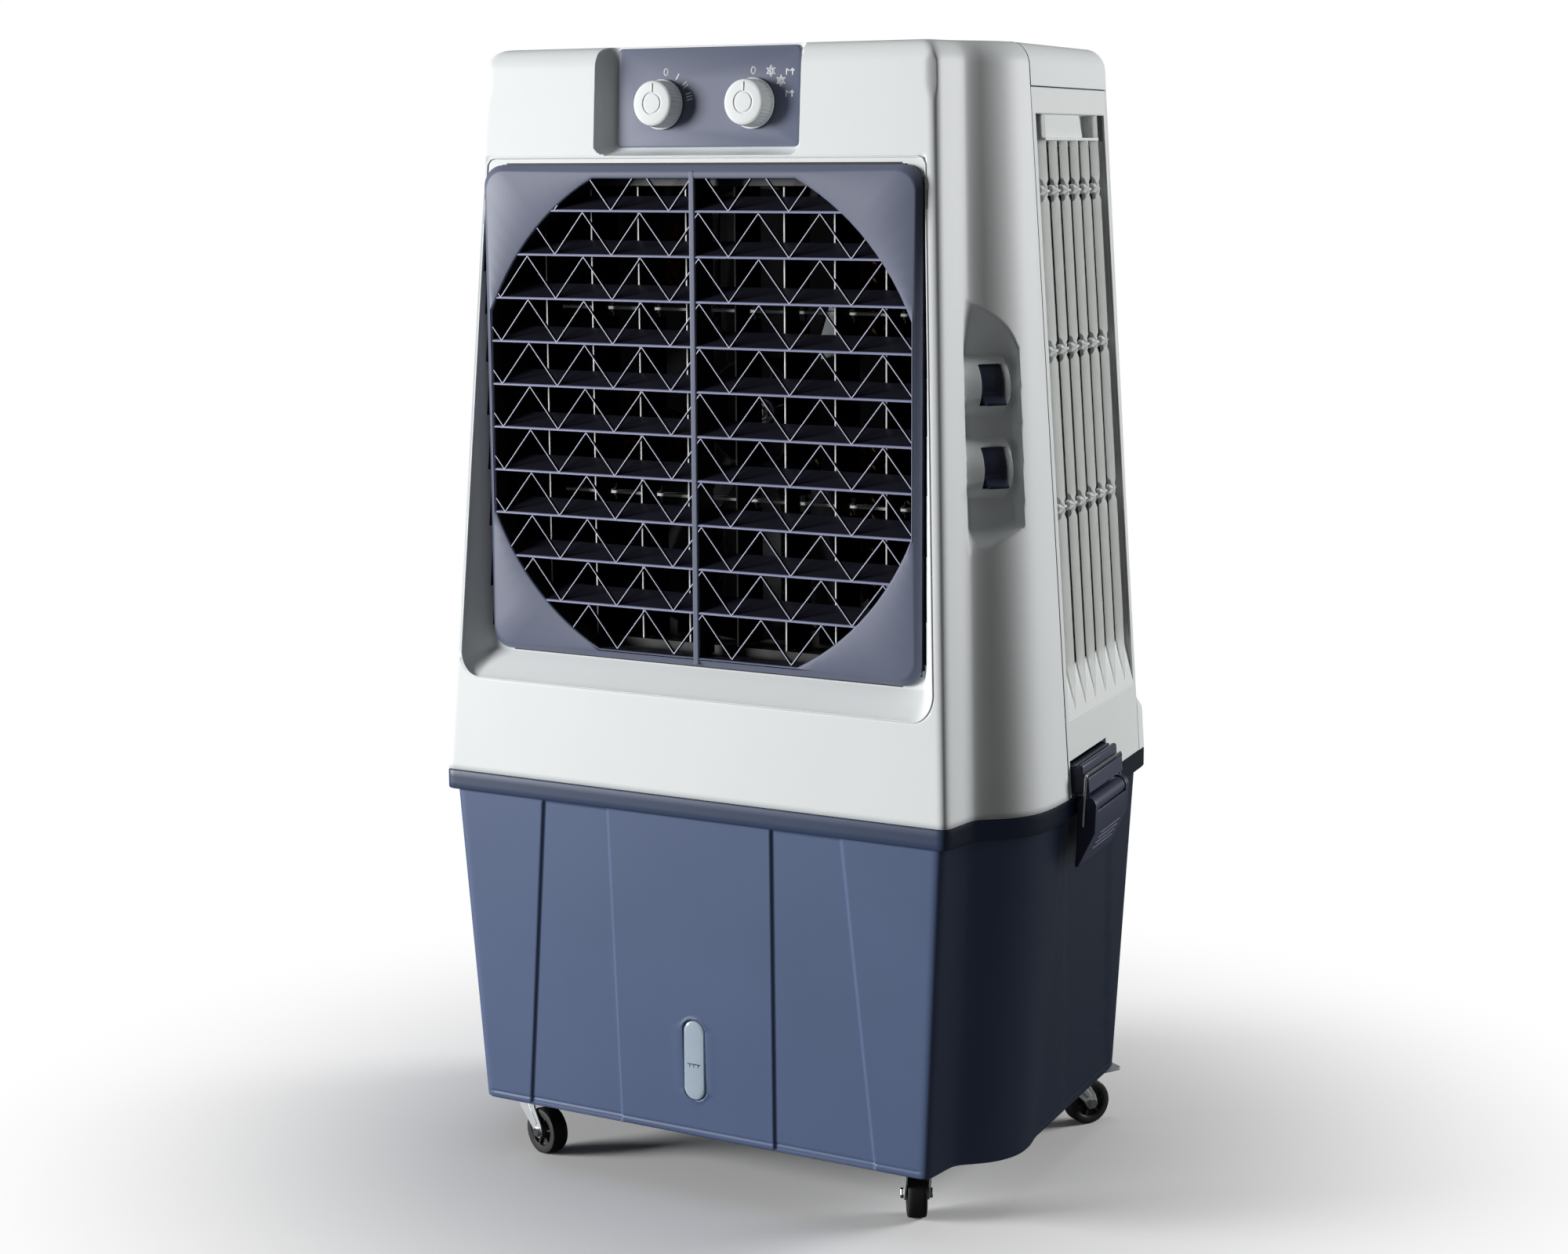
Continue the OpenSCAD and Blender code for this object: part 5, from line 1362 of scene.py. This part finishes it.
def latch(side, place, first):
    """Keeper and base ride the cooler's body; the lever and its wire bail move."""
    def at(p):
        return place(np.asarray(p, float) + np.array([0, LATCH_Y, 0]))

    lever, bail = f"latch_lever_{side}", f"latch_bail_{side}"
    keepers, bases = (["latch_keepers"], ["latch_bases"]) if first else ((), ())
    keeper = Shape().prism([(-4.5, 4), (18, 4), (18, 20), (12.6, 21), (12.6, 31.5), (11.4, 33), (8, 33),
                            (8, 30.4), (5, 30.4), (5, 33), (-4.5, 33)], -62, 62)
    rounded(keeper.build(f"latch_keeper_{side}", "navy", replaces=keepers, place=at), 0.9, 3)
    rounded(latch_base().build(f"latch_base_{side}", "navy_steel", replaces=bases, place=at), 0.5)
    rounded(latch_lobes().build(f"{lever}_lobes", "navy", body=lever, replaces=[lever], place=at), 1.6, 3)
    plate = Shape().prism([(23.2, HINGE_Z - 6.2), (21, HINGE_Z - 28), (1.2, HINGE_Z - 63),
                           (-1.6, HINGE_Z - 63), (-1.8, HINGE_Z - 61), (18.2, HINGE_Z - 27),
                           (20.6, HINGE_Z - 6.2)], -54, 54)
    rounded(plate.build(f"{lever}_face", "navy", body=lever, place=at), 0.8, 3)
    latch_grips().build(f"{lever}_grip_lines", "slate", body=lever, place=at)

    corners = [(BAIL_X, 54, BAIL_Z), (BAIL_X, 65, BAIL_Z), (BAR_X, 65, BAR_Z), (BAR_X, -65, BAR_Z),
               (BAIL_X, -65, BAIL_Z), (BAIL_X, -54, BAIL_Z)]
    wire = Shape().tube(fillet(corners, 4.5), 1.5, 14)
    wire.build(f"{bail}_wire", "bright", body=bail, replaces=[bail], place=at)


# ------------------------------------------------------------------ casters

# Place of each caster, the angle that its fork is turned to, and whether it has a brake.
CASTERS = {"fl": (-236, -205, -18, False), "fr": (236, -205, 122, False), "rl": (-236, 150, 100, True),
           "rr": (236, 150, 58, True)}
# Axle's distance from the swivel axis, its height, and half the gap between the fork's legs.
TRAIL, AXLE_Z, FORK_GAP = 22.0, 25.0, 11.0


def caster_plate():
    """Top plate, swivel race, king pin with its nut, and four screw heads, about the swivel axis."""
    plate = Shape().box((-23, -23, 70), (23, 23, 71.9))
    plate.lathe([(0.01, 70), (15, 70), (15, 66), (14, 63), (12, 62.4), (0.01, 62.4)], steps=40, axis="z")
    plate.lathe([(0.01, 66), (4, 66), (4, 60), (0.01, 60)], steps=24, axis="z")
    nut = [(0.01, 59.9), (6, 59.9), (6.5, 59.4), (6.5, 58), (5.8, 57.6), (0.01, 57.6)]
    plate.lathe(nut, steps=24, axis="z")
    screw = [(0.01, 70.2), (4, 70.2), (3.7, 68.6), (2.4, 67.8), (0.01, 67.6)]
    for x in (-17, 17):
        for y in (-17, 17):
            plate.lathe(screw, (x, y, 0), steps=20, axis="z")
    return plate


def caster_fork():
    """Swivel ring and two legs, each with a pressed rib on its outer side."""
    ring = [(4.1, 60), (17, 60), (17.6, 60.6), (17.6, 61.4), (17, 62), (15.4, 62.15), (4.1, 62.15), (4.1, 60)]
    fork = Shape().lathe(ring, steps=56, axis="z")
    fork.box((-14, -FORK_GAP - 1.2, 60.1), (12, -5, 61.9))
    fork.box((-14, 5, 60.1), (12, FORK_GAP + 1.2, 61.9))
    leg = [(-15, 61.8), (12, 61.8), (15, 56), (16.5, 50), (TRAIL + 5, AXLE_Z + 8), (TRAIL + 6.5, AXLE_Z + 2),
           (TRAIL + 6, AXLE_Z - 3.6), (TRAIL + 2.5, AXLE_Z - 6.5), (TRAIL - 3, AXLE_Z - 6.5),
           (TRAIL - 7, AXLE_Z - 2.5), (TRAIL - 10, AXLE_Z + 3), (-8, 46), (-13, 54)]
    rib = [(-6, 57), (4, 57), (12, 46), (TRAIL - 1, AXLE_Z + 9), (TRAIL - 5, AXLE_Z + 7), (2, 46)]
    for y, rib_y in ((-FORK_GAP - 2, -FORK_GAP - 2.7), (FORK_GAP, FORK_GAP + 1.8)):
        fork.prism(leg, y, y + 2)
        fork.prism(rib, rib_y, rib_y + 0.9)
    return fork


def bolt_end(shape, y0, y1, r=5.4):
    """A hexagonal bolt end on the wheel's axle, with its chamfered face at y0."""
    corners = [math.radians(60 * k) for k in range(6)]
    rows = [[(TRAIL + s * math.cos(t), y, AXLE_Z + s * math.sin(t)) for t in corners]
            for s, y in ((r - 0.5, y0), (r, y0 + 0.5 * np.sign(y1 - y0)), (r, y1))]
    shape.loft(np.array(rows))


def caster_axle(braked):
    bolt = Shape().tube([(TRAIL, -FORK_GAP - 3, AXLE_Z), (TRAIL, FORK_GAP + 3, AXLE_Z)], 2.9, 20)
    for side in (-1, 1):
        bolt_end(bolt, side * (FORK_GAP + 5.4), side * (FORK_GAP + 2))
    if braked:
        bolt.tube([(12, -FORK_GAP - 2.4, 56.5), (12, FORK_GAP + 2.4, 56.5)], 1.45, 14)
        head = [(0.01, -3), (2.4, -2.6), (2.6, -2), (0.01, -2)]
        bolt.lathe([(r, y - FORK_GAP) for r, y in head], (12, 0, 56.5), steps=20)
    return bolt


def mirrored_profile(half):
    """A ring's closed profile from its half at negative y."""
    return half + [(r, -y) for r, y in reversed(half)] + half[:1]


def caster_tread():
    half = [(17.6, -9.2), (22.6, -9.8), (24.1, -9.2), (24.8, -7.6), (25, -5)]
    return Shape().lathe(mirrored_profile(half), (TRAIL, 0, AXLE_Z), steps=96)


def caster_hub():
    """The wheel's centre: rim, thin web, boss, and six spokes on each side of the web."""
    half = [(17.7, -8.6), (17, -8.9), (16.3, -8.4), (15.8, -4.5), (9, -4), (8.2, -9.6), (7.4, -10.5),
            (3.1, -10.5)]
    hub = Shape().lathe(mirrored_profile(half), (TRAIL, 0, AXLE_Z), steps=64)
    for k in range(6):
        a = math.radians(60 * k + 12)
        c, s = math.cos(a), math.sin(a)
        for span in ((-7.6, -4), (4, 7.6)):
            spoke = [(TRAIL + r * c - t * s, y, AXLE_Z + r * s + t * c) for y in span
                     for r, t in ((8, -0.9), (16.2, -0.9), (16.2, 0.9), (8, 0.9))]
            hub.add(spoke, BLOCK)
    return hub


def brake_pedal():
    """A pressed pedal that bends up at its tip, with three grip lines and a hinge tube."""
    half = [(9, -8.6), (30, -8.6), (34, -13), (36, -14), (57, -14), (60, -11.5)]
    outline = half + [(x, -y) for x, y in reversed(half)]
    lift = [0 if x < 50 else 2.2 * ((x - 50) / 10) ** 2 for x, _ in outline]
    pedal = Shape().add([(x, y, z + d) for z in (57.1, 59.1) for (x, y), d in zip(outline, lift)],
                        sheet_faces(len(outline)))
    for x in (40, 45, 50):
        pedal.box((x - 0.8, -10, 58.9), (x + 0.8, 10, 59.7))
    tube = [(1.56, -8.8), (3, -8.8), (3, 8.8), (1.56, 8.8), (1.56, -8.8)]
    return pedal.lathe(tube, (12, 0, 56.5), steps=24)


def casters():
    plates = Shape()
    for key, (cx, cy, turn, braked) in CASTERS.items():
        spin = np.array(Matrix.Rotation(math.radians(turn), 3, "Z"))
        fork, wheel, brake = f"caster_fork_{key}", f"caster_wheel_{key}", f"brake_pedal_{key}"

        def at(p, spin=spin, cx=cx, cy=cy):
            return np.asarray(p, float) @ spin.T + np.array([cx, cy, 0])
        plate = caster_plate()
        plates.add(at(plate.verts), plate.faces)
        rounded(caster_fork().build(f"{fork}_steel", "zinc", body=fork, replaces=[fork], place=at), 0.5)
        caster_axle(braked).build(f"{fork}_axle", "bright", body=fork, place=at, sharp=25)
        caster_tread().build(f"{wheel}_tread", "rubber", body=wheel, replaces=[wheel], place=at, sharp=40)
        caster_hub().build(f"{wheel}_hub", "hub", body=wheel, place=at)
        if braked:
            pedal = brake_pedal().build(f"{brake}_plate", "zinc", body=brake, replaces=[brake], place=at)
            rounded(pedal, 0.45)
    rounded(plates.build("caster_plates_steel", "zinc", replaces=["caster_plates"]), 0.5)


# ------------------------------------------------------------------ small parts


def level_window():
    """A long lens with a printed level mark."""
    z_mid, reach, r = 147, 29.5, 12.4
    outline = []
    for side in (1, -1):
        turns = [math.radians(10 * k) for k in range(19)]
        outline += [(side * r * math.cos(t), z_mid + side * (reach + r * math.sin(t))) for t in turns]
    edge = [(0, -247), (0, -251.2), (0.8, -252), (3, -252.3), (7, -252.5)]
    lens = Shape().loft(dish(outline, edge, (0, z_mid)))
    lens.build("level_window_lens", "window", replaces=["level_window"])
    mark = Shape().box((-7.5, -252.75, 142.6), (7.5, -252, 143.6))
    for x in (-5, 0, 5):
        mark.box((x - 0.3, -252.7, 139.6), (x + 0.3, -252, 142.6))
    mark.build("level_window_mark", "navy")


def power_cord():
    """Grommet with its bend relief, the cable that hangs down behind the tank, and the plug."""
    x, y, z0 = 120.0, 256.0, 456.0
    cord = Shape().lathe([(0.01, 196), (6.8, 196), (6.8, 206.8), (9, 207.4), (9, 212), (8.2, 215), (6.4, 216),
                          (0.01, 216)], (x, 0, z0), steps=32)
    for k in range(4):
        r, start = 5.9 - 0.4 * k, 215 + 1.6 * k
        cord.lathe([(3.9, start), (r, start + 0.2), (r, start + 1), (3.9, start + 1.2)], (x, 0, z0), steps=24)
    cable = [(x, 214, z0), (x, y, z0), (x, y, z0 - 80), (x + 1.5, y - 0.5, z0 - 140),
             (x - 1, y + 0.4, z0 - 220), (x, y, 167)]
    cord.tube(fillet(cable, 34, 10), 3.9, 14)
    plug = [(3.9, 173), (6, 171), (9.6, 167), (10.8, 161), (10.8, 149), (9.4, 141), (9.4, 135),
            (10.6, 133), (10.6, 131), (0.01, 131)]
    cord.lathe(plug, (x, y, 0), steps=36, axis="z")
    cord.build("power_cord_cable", "black", replaces=["power_cord"])
    pins = Shape()
    for pin_x in (x - 5, x + 5):
        pins.tube([(pin_x, y, 132), (pin_x, y, 114.2), (pin_x, y, 113.2)], [2, 2, 1.3], 16)
    pins.build("power_cord_pins", "bright")


CAD_LOOKS = {"drain_plug": "navy", "rotary_switches": "black", "vane_frame": "black", "swing_motor": "grey",
             "fan_shroud": "black", "motor_bracket": "zinc", "fan_motor": "cast", "motor_shaft": "bright",
             "water_distributor": "white", "supply_hose": "hose", "pump_body": "black",
             "pump_impeller": "grey", "float_valve": "brass", "float_arm": "brass"}


def dress_cad_nodes():
    """Inner parts keep the CAD's own meshes and only get a material."""
    for name, look in CAD_LOOKS.items():
        ob = frame["nodes"][name]
        ob.data.materials.clear()
        ob.data.materials.append(MAT[look])


front_shell()
recess_bead()
rear_shell()
tank()
level_window()
front_grille()
swing_vanes()
link_bars()
fan()
control_panel()
legends()
knobs()
thumb_levers()
side_panel("right", on_side)
side_panel("left", on_left_side)
pads()
rear_panel()
latch("right", on_side, True)
latch("left", on_left_side, False)
casters()
power_cord()
dress_cad_nodes()

# ------------------------------------------------------------------ studio


AMBIENT = 0.075
FLOOR_SEEN, FLOOR_SHADE = 1.1, 0.12
FADE_START, FADE_END = 0.3, 1.0
# name, direction, distance, diameter, power, and whether the light leaves the tank out
LIGHTS = [("key_light", (-0.77, -0.64, 0.12), 7.5, 3.0, 740, False),
          ("side_light_low", (0.68, 0.68, 0.2), 5.5, 2.2, 16, False),
          ("side_light_high", (0.68, 0.68, 0.2), 5.5, 2.2, 225, True),
          ("top_light", (0.05, 0.1, 1.0), 4.0, 2.5, 22, True)]


def backdrop(scene):
    """A white surround for the camera, which lights the object only faintly."""
    scene.view_settings.view_transform = "Standard"
    scene.view_settings.look = "None"
    scene.world = bpy.data.worlds.new("studio")
    scene.world.use_nodes = True
    tree = scene.world.node_tree
    seen = node(tree, "LightPath", {}).outputs["Is Camera Ray"]
    level = node(tree, "MapRange", {"Value": seen, "To Min": AMBIENT, "To Max": 1.0})
    feed(tree, tree.nodes["Background"], {"Strength": level.outputs["Result"], "Color": (1, 1, 1, 1)})


def floor_material():
    """Pale floor that fades into the white backdrop far from the object."""
    mat = bpy.data.materials.new("studio_floor")
    mat.use_nodes = True
    tree = mat.node_tree
    bsdf = tree.nodes["Principled BSDF"]
    seen = node(tree, "LightPath", {}).outputs["Is Camera Ray"]
    level = node(tree, "MapRange", {"Value": seen, "To Min": FLOOR_SHADE, "To Max": FLOOR_SEEN})
    feed(tree, bsdf, {"Roughness": 0.9, "Specular IOR Level": 0.1, "Base Color": level.outputs["Result"]})
    coords = node(tree, "TexCoord", {}).outputs["Object"]
    length = node(tree, "VectorMath", {0: coords}, operation="LENGTH")
    fade = node(tree, "MapRange", {"Value": length.outputs["Value"], "From Min": FADE_START,
                                   "From Max": FADE_END}, interpolation_type="SMOOTHSTEP")
    both = node(tree, "Math", {0: fade.outputs["Result"], 1: seen}, operation="MULTIPLY")
    glow = node(tree, "Emission", {})
    mix = node(tree, "MixShader", {"Fac": both.outputs["Value"], 1: bsdf.outputs["BSDF"],
                                   2: glow.outputs["Emission"]})
    feed(tree, tree.nodes["Material Output"], {"Surface": mix.outputs["Shader"]})
    return mat


def studio():
    """Floor, backdrop and lights. Two of the lights leave the tank out."""
    scene = bpy.context.scene
    backdrop(scene)
    mesh = bpy.data.meshes.new("floor")
    mesh.from_pydata([(-9, -9, 0), (9, -9, 0), (9, 9, 0), (-9, 9, 0)], [], [(0, 1, 2, 3)])
    mesh.materials.append(floor_material())
    floor = bpy.data.objects.new("floor", mesh)
    scene.collection.objects.link(floor)

    upper = bpy.data.collections.new("lit_above_the_tank")
    for ob in list(scene.collection.objects):
        if ob.type == "MESH" and not ob.name.startswith("water_tank"):
            upper.objects.link(ob)
    for name, aim, distance, diameter, power, above in LIGHTS:
        data = bpy.data.lights.new(name, "AREA")
        data.shape = "DISK"
        data.size = diameter
        data.energy = power
        ob = bpy.data.objects.new(name, data)
        direction = Vector(aim).normalized()
        ob.location = Vector((0, 0, 0.6)) + direction * distance
        ob.rotation_euler = direction.to_track_quat("Z", "Y").to_euler()
        scene.collection.objects.link(ob)
        if above:
            ob.light_linking.receiver_collection = upper


def camera():
    """The photo's camera: position, angles and lens were fitted to the photo."""
    data = bpy.data.cameras.new("camera")
    ob = bpy.data.objects.new("camera", data)
    bpy.context.scene.collection.objects.link(ob)
    data.lens = 67.469
    data.sensor_width = 36
    data.shift_y = 0.01184
    data.clip_end = 50
    yaw, pitch, roll = math.radians(30.81), math.radians(9.52), math.radians(-0.32)
    ob.matrix_world = (Matrix.Translation((1.5711, -2.7012, 1.0669)) @ Matrix.Rotation(yaw, 4, "Z")
                       @ Matrix.Rotation(math.pi / 2 - pitch, 4, "X") @ Matrix.Rotation(roll, 4, "Z"))
    bpy.context.scene.camera = ob


studio()
camera()
